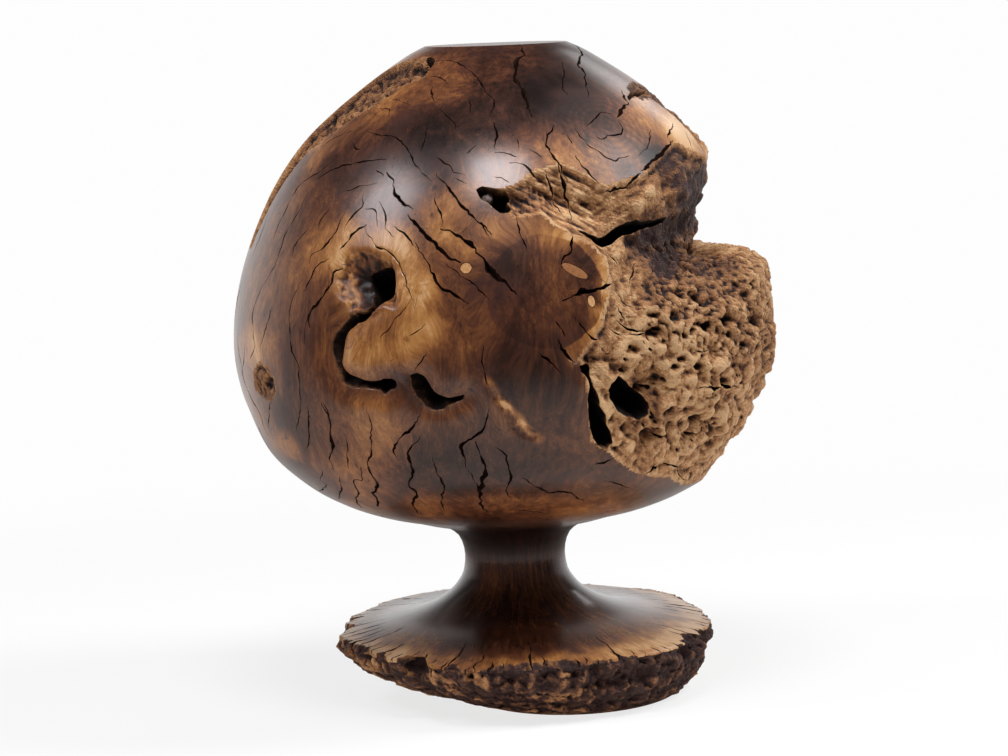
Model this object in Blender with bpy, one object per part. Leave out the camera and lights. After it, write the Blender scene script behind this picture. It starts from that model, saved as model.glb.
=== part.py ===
"""A burl turned into a globe on a waisted foot, with the burl's own rough skin left wherever it lay inside the
turned outline. One piece of wood, four small inlays and stubs set in it. Millimetres in the tables, metres in the
scene, +Z up, origin on the turning axis at the floor. Azimuth 0 is the front (-Y), +90 the right (+X)."""

import math

import bmesh
import bpy
import numpy as np
from mathutils import Matrix, Vector, noise

MM = 0.001

# Turned outline: radius and height, from the flat on top down to the rim of the foot
HEIGHT = 300.0
FLAT_RADIUS = 32.5
GLOBE = [
    (FLAT_RADIUS, HEIGHT), (41.5, 295.5), (59, 284), (75.5, 271.5), (90, 258), (102.5, 241),
    (112, 222.5), (119.5, 203), (124, 184), (125.5, 167), (124, 152), (120, 138), (111, 118),
    (95, 102.5), (80, 93.5), (66, 88), (54, 85), (44.4, 82.3),
]
STEM = [(34, 79.8), (28.5, 77), (25, 73), (23.2, 66), (24, 58), (26.5, 53), (31, 48), (39, 43), (50, 39), (65, 36)]
RIM_RADIUS = 89.0
RIM_HEIGHT = 31.0
BARK_SIDE = [(86.5, 24), (83, 16), (79, 8), (74, 0)]
BASE_RING = 40.0

# Spacing of the rows down the outline, and of the columns round the axis
ROW_STEP = 9.0
NATURAL_ROW_STEP = 7.2
NATURAL_ROWS = (96.0, 286.0)
COLUMNS = 62
DENSE_AZIMUTH = 62.0
DENSE_SHARE = 0.42

# Where the burl's own skin shows on the globe, as azimuth and height
RIGHT_FACE = [
    (-4, 239.5), (-2, 234), (2.8, 228.2), (8.6, 229), (11, 225), (16, 219), (22, 210), (22, 200), (19, 181),
    (14, 167), (16, 150), (17, 130), (26, 118), (33, 112), (57, 101), (85, 97), (115, 103), (134, 124), (141, 155),
    (137, 190), (130, 215), (122, 236), (106, 248), (90, 252), (76, 249), (69, 247), (62, 251), (56, 254.5),
    (47, 250), (38, 243), (31, 240), (26, 239), (21, 244), (17, 249), (13, 249), (7, 245.5), (3, 241.5),
]
LEFT_SHOULDER = [
    (-38, 294), (-37, 287), (-45, 283.4), (-48.5, 279.2), (-51, 275), (-55, 272.8), (-60, 267.6), (-64, 262),
    (-69, 255), (-72, 249), (-74, 242), (-76, 232), (-78, 222), (-80, 213), (-85, 211), (-88, 222), (-90, 238),
    (-92, 254), (-94, 268), (-95, 280), (-90, 288), (-74, 293.5), (-50, 296.5),
]
RIGHT_SHOULDER = [
    (56, 275), (62, 279.5), (76, 281), (96, 276), (118, 268), (138, 252), (146, 236), (139, 222), (120, 228),
    (104, 242), (90, 246), (78, 244), (70, 246), (71, 252), (72, 258), (72.5, 264), (72, 270), (70, 274.5),
    (62, 273.5),
]
REAR_PATCH = [(186, 214), (198, 221), (212, 212), (216, 190), (208, 168), (196, 158), (186, 172), (182, 194)]
SKIN = {
    # name: (outline, depth below the turned surface, width of the slope at its edge, height of its lumps)
    "right_face": (RIGHT_FACE, 6.5, 8.0, 3.6),
    "left_shoulder": (LEFT_SHOULDER, 6.5, 6.0, 2.6),
    "right_shoulder": (RIGHT_SHOULDER, 3.4, 5.0, 2.2),
    "rear_patch": (REAR_PATCH, 7.0, 7.0, 3.0),
}
SKIN_RADIUS = 115.0
LUMP_SIZE = 11.0

# Hollows (depth above 0) and swellings (below 0) of that skin: azimuth, height, reach, depth
SWELLS = [
    (54, 246, 16, -4), (38, 236, 13, -5), (24, 229, 12, 2.5), (14, 238, 12, 2.5), (30, 150, 16, 5), (46, 128, 18, 4.5),
    (72, 120, 24, 3), (72, 192, 24, -5), (92, 190, 24, -5), (58, 180, 14, -3), (46, 172, 16, 3), (84, 158, 26, -4),
    (74, 139, 14, 3), (115, 188, 26, 4), (120, 142, 26, 4), (29, 150, 9, 4), (36, 183, 14, -2),
]

# Under the ridge the skin falls back into a notch, and the lobe below it has a nearly level top. Depth by height,
# at the right side and further to the front; the share of it by azimuth; how far it drops towards the front.
NOTCH_AT_LIMB = [
    (196, 0), (203, 4), (206.5, 9), (209.5, 29), (214, 28), (221, 22), (227, 19), (233, 14), (239, 6), (247, 2.5),
    (256, 0),
]
NOTCH_IN_FRONT = [(182, 0), (190, 3), (200, 9), (210, 17), (219, 22), (226, 19), (231, 10), (238, 2), (250, 0)]
NOTCH_SHARE = [(20, 0), (26, 0.12), (34, 0.42), (44, 0.75), (56, 1), (104, 1), (122, 0.5), (138, 0)]
NOTCH_DROP = [(22, 14), (35, 7), (47, 4), (60, 0)]
NOTCH_TURN, NOTCH_BLEND = 58.0, 14.0

# Hollows with a mouth: azimuth, height, depth of the middle, radius
CAVITIES = {
    "left_pocket": [(-35, 209, 0.8, 3.6), (-32, 203, 1.6, 8), (-33, 195, 1.2, 6)],
    "left_swirl": [
        (-25.5, 207, 5, 5), (-27.5, 201, 7.5, 7.5), (-30.5, 194, 5, 5.6), (-33, 184, 3, 4.2), (-35.4, 175, 2.6, 3.4),
        (-36, 166.5, 2.6, 3.4), (-33.6, 159, 3, 3.8), (-28, 157, 4, 4.4), (-22.7, 158, 3.6, 4.4),
    ],
    "right_crescent": [
        (-20, 162, 1.6, 2.2), (-19.2, 155, 3.6, 4.4), (-17, 150.5, 4.6, 5.2), (-13, 148.6, 4, 4.4), (-8.6, 150.9, 1.6, 2),
    ],
    "eye": [(-5.2, 240, 1.6, 3.6), (-1, 236.5, 3.6, 5.8), (4, 234, 3, 5)],
    "low_slot": [(16.2, 155, 2, 2.4), (17.2, 146, 4, 4.6), (17.6, 137, 5, 5.4), (19.4, 129, 3, 4)],
    "low_hole": [(24.5, 158, 2, 4), (27, 149, 6, 9.5), (30.5, 142, 4, 6.5)],
    "ridge_gap": [(22.5, 216.5, 2, 3), (29, 218.5, 6, 6), (37, 221.5, 6, 6.5), (45, 225, 5, 5)],
    "shoulder_slot": [(57, 275.5, 2, 2.6), (63, 277, 3.5, 4), (71, 277.5, 3.5, 4), (80, 274, 3, 3.5)],
    "resin_groove": [
        (-4.6, 161, 0.4, 1.6), (-2.8, 154, 0.2, 2.6), (-1, 147, 0, 2.8), (2, 138, 0, 2.8), (6, 132.5, 0, 3.4), (9, 131, 0, 2),
    ],
    "left_pit": [(-61, 162, -2.2, 5), (-61, 156, -2.6, 6.4), (-60, 150, -1.6, 4)],
    "rear_hole": [(196, 205, 5, 5), (199, 194, 9, 8.5), (202, 182, 5, 6)],
}
CAVITY_SIDES = 9

# Open cracks: azimuth and height along the crack, then its width at the surface
FISSURES = {
    "heart_upper": ([(-31, 248), (-27, 239), (-21, 232), (-16, 220), (-10, 211)], 2.2),
    "heart_lower": ([(-16, 237), (-13, 225), (-6, 215), (-2, 204), (2, 196)], 2.4),
    "brow": ([(-17, 247), (-9, 233), (-3, 221)], 1.6),
    "shoulder_left": ([(-38, 294), (-14, 290), (-5, 280), (-1, 276), (-3, 269)], 2.0),
    "shoulder_middle": ([(16, 298), (11, 292), (8, 286), (10, 274), (11, 268)], 2.4),
    "shoulder_right": ([(52, 291), (45, 286), (36, 277)], 1.8),
    "across_heart": ([(11, 192), (18, 196), (25, 199)], 2.2),
    "bulge_fold": ([(24, 257), (29, 251), (31, 249), (36, 251)], 1.8),
    "left_long": ([(-48, 202), (-50, 188), (-50, 178), (-47, 166), (-48, 152), (-53, 135)], 1.6),
    "left_edge": ([(-62, 200), (-66, 186), (-64, 171), (-67, 163)], 1.4),
    "left_swirl_tail": ([(-36, 211), (-40, 200), (-44, 188), (-43, 181)], 2.0),
    "low_left": ([(-42, 149), (-42, 133), (-45, 124), (-45, 117)], 2.2),
    "low_middle": ([(-30, 147), (-31, 134), (-34, 122), (-35, 111), (-40, 101)], 1.6),
    "low_heart": ([(-19, 135), (-22, 130), (-23, 120), (-25, 112), (-30, 97)], 2.0),
    "low_front": ([(-7, 133), (-6, 119), (-8, 104), (-7, 97)], 2.2),
    "low_right": ([(2, 115), (9, 107), (14, 106), (20, 101)], 1.8),
    "rear_long": ([(158, 238), (161, 222), (158, 204), (163, 186), (160, 168)], 2.0),
    "rear_low": ([(-140, 176), (-136, 160), (-139, 144), (-133, 126)], 2.0),
    "rear_left": ([(-120, 214), (-124, 198), (-121, 182), (-126, 168)], 1.8),
}
FISSURE_DEPTH = 6.0
FISSURE_STEP = 8.5

# The foot: how its rim wanders, where a bite is out of it, and the patch that it stands on
RIM_WAVES = [(3.6, 1, 0.0), (3.6, 2, 1.57), (1.3, 5, 2.1), (0.9, 9, 0.3)]
RIM_BITES = [(6, 12, 5), (-32, 7, 6), (148, 9, 6), (-118, 8, 5)]
RIM_TILT = 3.5
STAND_CENTRE = 25.0
STAND_ACROSS = 49.0
STAND_DEEP = 61.0
BARK_LUMP = 3.4
FOOT_NOTCH = [(-33, 31.5, 3, 4.2), (-33, 24, 6, 5.4)]

# Inlays: azimuth, height, half length along and half width across the surface, turn, depth of the inlay
PLUGS = {
    "plug_round": (-8.0, 207.7, 2.4, 2.3, 20, 9),
    "plug_oval": (17.4, 191.4, 2.5, 1.5, 96, 9),
    "plug_long": (14.6, 204.6, 6.2, 2.1, -32, 7),
}
PLUG_GAP = 0.3
PLUG_SIDES = 20
KNOT = (-3.6, 238.4, 6.2, 2.8)
KNOT_GAP = 0.3

POLISHED = ((0.20, 0.085, 0.045, 1), 0.28)
INLAY = ((0.62, 0.36, 0.17, 1), 0.35)
STUB = ((0.40, 0.31, 0.27, 1), 0.6)


def clear_scene():
    for obj in list(bpy.data.objects):
        bpy.data.objects.remove(obj, do_unlink=True)


def material(name, look):
    made = bpy.data.materials.new(name)
    made.use_nodes = True
    shader = made.node_tree.nodes["Principled BSDF"]
    shader.inputs["Base Color"].default_value = look[0]
    shader.inputs["Roughness"].default_value = look[1]
    shader.inputs["Metallic"].default_value = 0.0
    return made


def smooth_curve(knots, samples=24):
    """A Catmull-Rom curve through the knots, as an array of points."""
    p = np.array(knots, float)
    p = np.vstack([2 * p[0] - p[1], p, 2 * p[-1] - p[-2]])
    t = np.linspace(0, 1, samples, endpoint=False)[:, None]
    spans = []
    for a, b, c, d in zip(p, p[1:], p[2:], p[3:]):
        spans.append(0.5 * (2 * b + (c - a) * t + (2 * a - 5 * b + 4 * c - d) * t**2 + (3 * b - a - 3 * c + d) * t**3))
    return np.vstack(spans + [p[-2:-1]])


def spaced(curve, step_at):
    """Points along the curve, step_at(height) apart, both ends kept."""
    along = np.concatenate([[0], np.cumsum(np.linalg.norm(np.diff(curve, axis=0), axis=1))])
    marks = [0.0]
    while True:
        height = np.interp(marks[-1], along, curve[:, 1])
        following = marks[-1] + step_at(height)
        if following > along[-1] - 0.5 * step_at(height):
            break
        marks.append(following)
    marks.append(along[-1])
    return [(np.interp(m, along, curve[:, 0]), np.interp(m, along, curve[:, 1])) for m in marks]


TURNED_CURVE = smooth_curve(GLOBE + STEM + [(RIM_RADIUS, RIM_HEIGHT)])
GLOBE_CURVE = TURNED_CURVE[: 24 * (len(GLOBE) - 1) + 1]


def row_step(height):
    return NATURAL_ROW_STEP if NATURAL_ROWS[0] < height < NATURAL_ROWS[1] else ROW_STEP


def outline():
    rows = spaced(TURNED_CURVE, row_step)
    return [(0, HEIGHT), (FLAT_RADIUS / 2, HEIGHT)] + rows + BARK_SIDE + [(BASE_RING, 0), (0, 0)]


def on_globe(azimuth, height, depth=0.0):
    """A point of the turned globe, sunk below it by depth, and the outward normal there."""
    radius = np.interp(-height, -GLOBE_CURVE[:, 1], GLOBE_CURVE[:, 0])
    ahead = np.interp(-height + 1, -GLOBE_CURVE[:, 1], GLOBE_CURVE[:, 0])
    behind = np.interp(-height - 1, -GLOBE_CURVE[:, 1], GLOBE_CURVE[:, 0])
    a = math.radians(azimuth)
    out = Vector((math.sin(a), -math.cos(a), 0))
    normal = (out * 2 - Vector((0, 0, behind - ahead))).normalized()
    point = out * radius + Vector((0, 0, height))
    return point - normal * depth, normal


def inside_distance(azimuth, height, border):
    """How far each place lies inside the border, in millimetres along the skin; negative outside."""
    here = np.stack([np.radians(azimuth) * SKIN_RADIUS, height], -1)
    corner = np.array([(math.radians(a) * SKIN_RADIUS, h) for a, h in border])
    inside = np.zeros(len(here), bool)
    nearest = np.full(len(here), np.inf)
    for a, b in zip(corner, np.roll(corner, -1, axis=0)):
        crosses = (a[1] > here[:, 1]) != (b[1] > here[:, 1])
        rise = b[1] - a[1] if b[1] != a[1] else 1.0
        inside ^= crosses & (here[:, 0] < a[0] + (here[:, 1] - a[1]) * (b[0] - a[0]) / rise)
        share = np.clip(((here - a) @ (b - a)) / ((b - a) @ (b - a)), 0, 1)
        nearest = np.minimum(nearest, np.linalg.norm(here - a - share[:, None] * (b - a), axis=1))
    return np.where(inside, nearest, -nearest)


def lumps(points, size):
    """Rounded warts with a finer roughness on them, from about -0.5 to 0.5."""
    made = []
    for p in points:
        near = noise.voronoi(Vector(p) / size)[0][0]
        made.append(0.6 - near + 0.5 * noise.noise(Vector(p) / (0.55 * size)))
    return np.array(made)


def notch_depth(azimuth, height):
    """How deep the notch under the ridge is, by azimuth and height."""
    at_limb = np.interp(height, *zip(*NOTCH_AT_LIMB))
    in_front = np.interp(height + np.interp(azimuth, *zip(*NOTCH_DROP)), *zip(*NOTCH_IN_FRONT))
    far = np.clip((azimuth - NOTCH_TURN) / NOTCH_BLEND, 0, 1)
    far = far * far * (3 - 2 * far)
    return np.interp(azimuth, *zip(*NOTCH_SHARE)) * (far * at_limb + (1 - far) * in_front)


def skin_depth(points):
    """How deep the burl's own skin lies below the turned surface at each point of the globe."""
    azimuth = np.degrees(np.arctan2(points[:, 0], -points[:, 1]))
    height = points[:, 2]
    depth = np.zeros(len(points))
    rough = lumps(points, LUMP_SIZE)
    for border, base, slope, relief in SKIN.values():
        far_side = max(a for a, _ in border) > 180
        turn = np.where(far_side & (azimuth < 0), azimuth + 360, azimuth)
        edge = np.clip(inside_distance(turn, height, border) / slope, 0, 1)
        edge = edge * edge * (3 - 2 * edge)
        depth = np.maximum(depth, edge * (base - relief * rough))
    swell = np.zeros(len(points))
    for a, h, reach, amount in SWELLS:
        centre = np.array(on_globe(a, h)[0])
        swell += amount * np.exp(-((np.linalg.norm(points - centre, axis=1) / reach * 1.5) ** 2))
    face = inside_distance(azimuth, height, RIGHT_FACE)
    edge = np.clip(face / 10, 0, 1)
    notch = np.clip(face / 5, 0, 1) * notch_depth(azimuth, height)
    return np.maximum(depth + swell * edge + notch, np.where(depth > 0, 0.3 * edge, 0))


def rim_reach(azimuth):
    """Radius of the foot's natural rim."""
    a = np.radians(azimuth)
    reach = RIM_RADIUS + sum(size * np.sin(count * a + start) for size, count, start in RIM_WAVES)
    for middle, width, depth in RIM_BITES:
        away = (azimuth - middle + 180) % 360 - 180
        reach = reach - depth * np.exp(-((away / width) ** 2))
    return reach


def stand_reach(azimuth):
    """Distance from the turning axis to the edge of the patch that the foot stands on."""
    a = np.radians(azimuth)
    x, y = np.sin(a) / STAND_ACROSS, -np.cos(a) / STAND_DEEP
    shift = STAND_CENTRE / STAND_ACROSS
    length = x * x + y * y
    return (x * shift + np.sqrt((x * shift) ** 2 + length * (1 - shift * shift))) / length


def azimuth_of(column):
    """Spreads the even columns of a spin so that they stand closer together on the natural face."""
    shift = column - DENSE_AZIMUTH
    return DENSE_AZIMUTH + shift - math.degrees(DENSE_SHARE * math.sin(math.radians(shift)))


def spun_blank():
    """The turned piece with closed poles, before anything is taken off it."""
    mesh = bmesh.new()
    rows = [mesh.verts.new((0, -radius * MM, height * MM)) for radius, height in outline()]
    edges = [mesh.edges.new(pair) for pair in zip(rows, rows[1:])]
    bmesh.ops.spin(
        mesh, geom=rows + edges, cent=(0, 0, 0), axis=(0, 0, 1), dvec=(0, 0, 0),
        angle=2 * math.pi, steps=COLUMNS, use_duplicate=False,
    )
    bmesh.ops.remove_doubles(mesh, verts=mesh.verts, dist=1e-6)
    for vert in mesh.verts:
        radius = math.hypot(vert.co.x, vert.co.y)
        turned = math.radians(azimuth_of(math.degrees(math.atan2(vert.co.x, -vert.co.y))))
        vert.co.x, vert.co.y = radius * math.sin(turned), -radius * math.cos(turned)
    bmesh.ops.recalc_face_normals(mesh, faces=mesh.faces)
    mesh.normal_update()
    return mesh


def shape_foot(points):
    """Cuts the foot's rim to its natural line and draws the bark side in to the patch that it stands on."""
    azimuth = np.degrees(np.arctan2(points[:, 0], -points[:, 1]))
    radius = np.hypot(points[:, 0], points[:, 1])
    rim, stand = rim_reach(azimuth), stand_reach(azimuth)
    fall = np.clip((RIM_HEIGHT - points[:, 2]) / RIM_HEIGHT, 0, 1)
    flare = (points[:, 2] >= RIM_HEIGHT - 0.01) & (points[:, 2] < 45) & (radius > 40)
    reach = 40 + (radius - 40) * (rim - 40) / (RIM_RADIUS - 40)
    flare_line = TURNED_CURVE[TURNED_CURVE[:, 1] < 46]
    flare_height = np.interp(reach, flare_line[:, 0], flare_line[:, 1])
    side = (fall > 0.001) & (points[:, 2] > 0.01)
    bulge = 1 - fall**2.2
    side_radius = stand + (rim - stand) * bulge
    base = points[:, 2] <= 0.01
    base_radius = radius * stand / BARK_SIDE[-1][0]
    new_radius = np.where(flare, reach, np.where(side, side_radius, np.where(base, base_radius, radius)))
    rough = lumps(points, 9.0)
    new_radius = np.where(side, new_radius + BARK_LUMP * rough, new_radius)
    scale = np.where(radius > 1e-6, new_radius / np.maximum(radius, 1e-6), 1)
    points[:, :2] *= scale[:, None]
    points[:, 2] = np.where(flare & (reach > RIM_RADIUS - 20), flare_height, points[:, 2])
    share = np.clip((reach - 48) / 32, 0, 1)
    share = np.where(flare, share * share * (3 - 2 * share), np.where(side, 1 - fall, 0))
    points[:, 2] -= RIM_TILT * np.cos(np.radians(azimuth)) * share
    return points


def burl_body(look):
    mesh = spun_blank()
    points = np.array([vert.co for vert in mesh.verts]) / MM
    normals = np.array([vert.normal for vert in mesh.verts])
    globe = (points[:, 2] > 84) & (np.hypot(points[:, 0], points[:, 1]) > 30)
    sunk = np.zeros(len(points))
    sunk[globe] = skin_depth(points[globe])
    points -= normals * sunk[:, None]
    points = shape_foot(points)
    for vert, place in zip(mesh.verts, points):
        vert.co = place * MM
    bmesh.ops.triangulate(mesh, faces=mesh.faces)
    return finish_mesh("burl", mesh, look)


def finish_mesh(name, mesh, look=None):
    bmesh.ops.recalc_face_normals(mesh, faces=mesh.faces)
    data = bpy.data.meshes.new(name)
    mesh.to_mesh(data)
    mesh.free()
    obj = bpy.data.objects.new(name, data)
    if look:
        data.materials.append(look)
    data.shade_smooth()
    data.set_sharp_from_angle(angle=math.radians(38))
    return obj


def local_axes(azimuth, height):
    """Matrix from (level tangent, up the surface, outward) to the scene, at a place on the globe."""
    point, normal = on_globe(azimuth, height)
    level = Vector((0, 0, 1)).cross(normal).normalized()
    upward = normal.cross(level)
    turn = Matrix((level, upward, normal)).transposed().to_4x4()
    return Matrix.Translation(point * MM) @ turn


def tube(name, middles, radii, sides):
    """A closed tube with round ends through the middles."""
    mesh = bmesh.new()
    rings = []
    count = len(middles)
    for i, (middle, radius) in enumerate(zip(middles, radii)):
        along = (middles[min(i + 1, count - 1)] - middles[max(i - 1, 0)]).normalized()
        side = along.cross(Vector((0.31, 0.52, 0.79))).normalized()
        other = along.cross(side)
        ring = []
        for k in range(sides):
            a = 2 * math.pi * k / sides
            ring.append(mesh.verts.new((middle + (side * math.cos(a) + other * math.sin(a)) * radius) * MM))
        rings.append(ring)
    for one, two in zip(rings, rings[1:]):
        for k in range(sides):
            mesh.faces.new((one[k], one[(k + 1) % sides], two[(k + 1) % sides], two[k]))
    for ring, end, step in ((rings[0], 0, 1), (rings[-1], count - 1, -1)):
        away = (middles[end] - middles[end + step]).normalized()
        tip = mesh.verts.new((middles[end] + away * radii[end] * 0.6) * MM)
        for k in range(sides):
            mesh.faces.new((ring[k], ring[(k + 1) % sides], tip))
    return finish_mesh(name, mesh)


def cavity(name, route, place=on_globe):
    """A hollow: a fat tube along the route, its middles sunk below the skin that is there."""
    middles, radii = [], []
    for azimuth, height, depth, radius in route:
        surface = np.array(place(azimuth, height)[0])[None]
        middles.append(place(azimuth, height, depth + float(skin_depth(surface)[0]))[0])
        radii.append(radius)
    return tube(name, middles, radii, CAVITY_SIDES)


def fissure(name, route, width):
    """A wedge that opens at the surface and closes at its depth, wandering a little from its route."""
    knots = [np.array(on_globe(a, h)[0]) for a, h in route]
    path = smooth_curve(knots, 6)
    length = np.concatenate([[0], np.cumsum(np.linalg.norm(np.diff(path, axis=0), axis=1))])
    marks = np.linspace(0, length[-1], max(4, int(length[-1] / FISSURE_STEP) + 1))
    centres = [Vector([np.interp(m, length, path[:, k]) for k in range(3)]) for m in marks]
    mesh = bmesh.new()
    rows = []
    for i, centre in enumerate(centres):
        normal = Vector((centre.x, centre.y, 0.8 * (centre.z - 180))).normalized()
        along = (centres[min(i + 1, len(centres) - 1)] - centres[max(i - 1, 0)]).normalized()
        side = along.cross(normal).normalized()
        open_share = math.sin(math.pi * (0.12 + 0.76 * i / (len(centres) - 1)))
        half = 0.5 * width * open_share * (1 + 0.35 * noise.noise(centre / 5))
        centre = centre + side * (1.1 if i % 2 else -1.1) * (0.4 + 0.6 * open_share)
        rows.append([
            mesh.verts.new((centre + normal * 1.5 + side * half * 1.25) * MM),
            mesh.verts.new((centre + normal * 1.5 - side * half * 1.25) * MM),
            mesh.verts.new((centre - normal * FISSURE_DEPTH * (0.35 + 0.65 * open_share)) * MM),
        ])
    for one, two in zip(rows, rows[1:]):
        for k in range(3):
            mesh.faces.new((one[k], one[(k + 1) % 3], two[(k + 1) % 3], two[k]))
    mesh.faces.new(rows[0])
    mesh.faces.new(rows[-1])
    bmesh.ops.triangulate(mesh, faces=mesh.faces)
    return finish_mesh(name, mesh)


def oval_prism(name, azimuth, height, half_long, half_wide, turn, low, high, look=None):
    """An oval peg standing in the surface, from low to high along its normal."""
    mesh = bmesh.new()
    bmesh.ops.create_cone(
        mesh, cap_ends=True, segments=PLUG_SIDES, radius1=1, radius2=1, depth=1,
        matrix=Matrix.Translation((0, 0, 0.5)),
    )
    size = Matrix.Diagonal((half_long * MM, half_wide * MM, (high - low) * MM, 1))
    lift = Matrix.Translation((0, 0, low * MM))
    spin = Matrix.Rotation(math.radians(turn), 4, "Z")
    bmesh.ops.transform(mesh, matrix=local_axes(azimuth, height) @ spin @ lift @ size, verts=mesh.verts)
    return finish_mesh(name, mesh, look)


def stub(name, radius, look=None):
    """The small dead knot in the eye hollow, a rounded stone-like lump."""
    azimuth, height, depth, size = KNOT
    mesh = bmesh.new()
    bmesh.ops.create_icosphere(mesh, subdivisions=2, radius=1)
    centre = on_globe(azimuth, height, depth)[0]
    for vert in mesh.verts:
        rough = 1 + 0.16 * noise.noise(vert.co * 1.7)
        vert.co = (centre + vert.co * (size * rough + radius - size)) * MM
    return finish_mesh(name, mesh, look)


def on_foot(azimuth, height, depth=0.0):
    """A point at the foot's rim, sunk inwards from it."""
    a = math.radians(azimuth)
    out = Vector((math.sin(a), -math.cos(a), 0))
    return out * (rim_reach(azimuth) - depth) + Vector((0, 0, height)), out


def carve(body, name, cutters):
    """Takes all the cutters, kept in a collection of their own, from the body."""
    held = bpy.data.collections.new(name)
    bpy.context.scene.collection.children.link(held)
    for cutter in cutters:
        held.objects.link(cutter)
        cutter.hide_render = True
        cutter.display_type = "WIRE"
    cut = body.modifiers.new(name, "BOOLEAN")
    cut.operation = "DIFFERENCE"
    cut.operand_type = "COLLECTION"
    cut.collection = held


def build():
    clear_scene()
    wood = material("burl_wood", POLISHED)
    pale = material("pale_inlay", INLAY)
    dead = material("dead_knot", STUB)
    body = burl_body(wood)
    bpy.context.scene.collection.objects.link(body)
    carve(body, "Cavities", [cavity(f"cut_{name}", route) for name, route in CAVITIES.items()]
          + [tube("cut_foot_notch", [on_foot(a, h, d)[0] for a, h, d, _ in FOOT_NOTCH],
                  [r for *_, r in FOOT_NOTCH], CAVITY_SIDES)])
    carve(body, "Fissures", [fissure(f"cut_{name}", route, width) for name, (route, width) in FISSURES.items()])
    sockets = []
    for name, (azimuth, height, long, wide, turn, depth) in PLUGS.items():
        sockets.append(oval_prism(
            f"socket_{name}", azimuth, height, long + PLUG_GAP, wide + PLUG_GAP, turn, -depth - PLUG_GAP, 2))
        plug = oval_prism(name, azimuth, height, long, wide, turn, -depth, 0, pale)
        bpy.context.scene.collection.objects.link(plug)
    sockets.append(stub("socket_knot", KNOT[3] + KNOT_GAP))
    carve(body, "Sockets", sockets)
    bpy.context.scene.collection.objects.link(stub("dead_knot", KNOT[3], dead))


build()
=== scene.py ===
# %% [markdown]
# # A burl globe on its foot
# A burl is a knotty swelling on a tree. A turner has shaped one on a lathe into a globe on a waisted foot and
# polished it, and has left the burl's own rough skin wherever it lay inside the turned outline. This lesson
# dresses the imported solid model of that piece.

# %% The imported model
import math
import random

import bpy
import numpy as np
from mathutils import Matrix, Vector, noise


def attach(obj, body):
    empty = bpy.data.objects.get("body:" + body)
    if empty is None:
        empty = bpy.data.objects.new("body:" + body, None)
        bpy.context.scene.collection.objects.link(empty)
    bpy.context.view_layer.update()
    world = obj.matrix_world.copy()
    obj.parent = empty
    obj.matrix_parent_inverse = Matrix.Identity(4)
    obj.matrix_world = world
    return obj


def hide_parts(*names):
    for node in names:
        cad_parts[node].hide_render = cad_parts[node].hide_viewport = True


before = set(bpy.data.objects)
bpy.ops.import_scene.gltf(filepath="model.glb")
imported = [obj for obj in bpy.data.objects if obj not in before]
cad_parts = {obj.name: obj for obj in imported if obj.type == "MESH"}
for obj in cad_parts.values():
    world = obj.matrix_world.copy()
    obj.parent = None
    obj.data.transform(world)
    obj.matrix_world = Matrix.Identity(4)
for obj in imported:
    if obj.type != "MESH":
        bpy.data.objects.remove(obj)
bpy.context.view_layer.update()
MM = 0.001
print("solids:", sorted(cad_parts))

# %% [markdown]
# ## The eye of the picture
# The picture was taken from a little above the globe with a long lens, and it leans two degrees. The same eye
# tells where a place in the picture lies on the wood, so cracks and hollows can be named by where they are seen.

# %% Camera
PICTURE = (1008, 756)
EYE = np.array([-2.0, -1650.0, 336.0])
LOOK_DOWN = math.radians(6.555)
LEAN = math.radians(2.2)
FOCAL_PX = 3600.0
AHEAD = np.array([0, math.cos(LOOK_DOWN), -math.sin(LOOK_DOWN)])
ABOVE = np.array([0, math.sin(LOOK_DOWN), math.cos(LOOK_DOWN)])
ASIDE = np.array([1.0, 0, 0])
RIGHT = math.cos(LEAN) * ASIDE - math.sin(LEAN) * ABOVE
UP = math.sin(LEAN) * ASIDE + math.cos(LEAN) * ABOVE


def set_camera():
    """A long lens at the picture's eye, leaning as the picture does."""
    bpy.ops.object.camera_add()
    camera = bpy.context.object
    camera.name = "picture_camera"
    camera.data.sensor_width = 36.0
    camera.data.lens = 36.0 * FOCAL_PX / PICTURE[0]
    camera.data.clip_start, camera.data.clip_end = 0.05, 50.0
    turn = Matrix((RIGHT, UP, -AHEAD)).transposed().to_4x4()
    camera.matrix_world = Matrix.Translation(Vector(EYE * MM)) @ turn
    bpy.context.scene.camera = camera
    print("lens", round(camera.data.lens, 2), "mm")


set_camera()

# %% [markdown]
# ## The turned outline
# Everything on the piece is measured from the outline that the lathe left: radius and height, in millimetres.
# A smooth curve runs through a few knots, and the direction square to it is the polished surface's normal.

# %% Outline
HEIGHT = 300.0
FLAT_RADIUS = 32.5
GLOBE = [
    (FLAT_RADIUS, HEIGHT), (41.5, 295.5), (59, 284), (75.5, 271.5), (90, 258), (102.5, 241),
    (112, 222.5), (119.5, 203), (124, 184), (125.5, 167), (124, 152), (120, 138), (111, 118),
    (95, 102.5), (80, 93.5), (66, 88), (54, 85), (44.4, 82.3),
]
STEM = [(34, 79.8), (28.5, 77), (25, 73), (23.2, 66), (24, 58), (26.5, 53), (31, 48), (39, 43), (50, 39), (65, 36)]
RIM_RADIUS, RIM_HEIGHT = 89.0, 31.0
SAMPLES = 24
# the dressed outline stays a hair inside the solid's, so that its box does too
INSET = 0.9995


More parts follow.
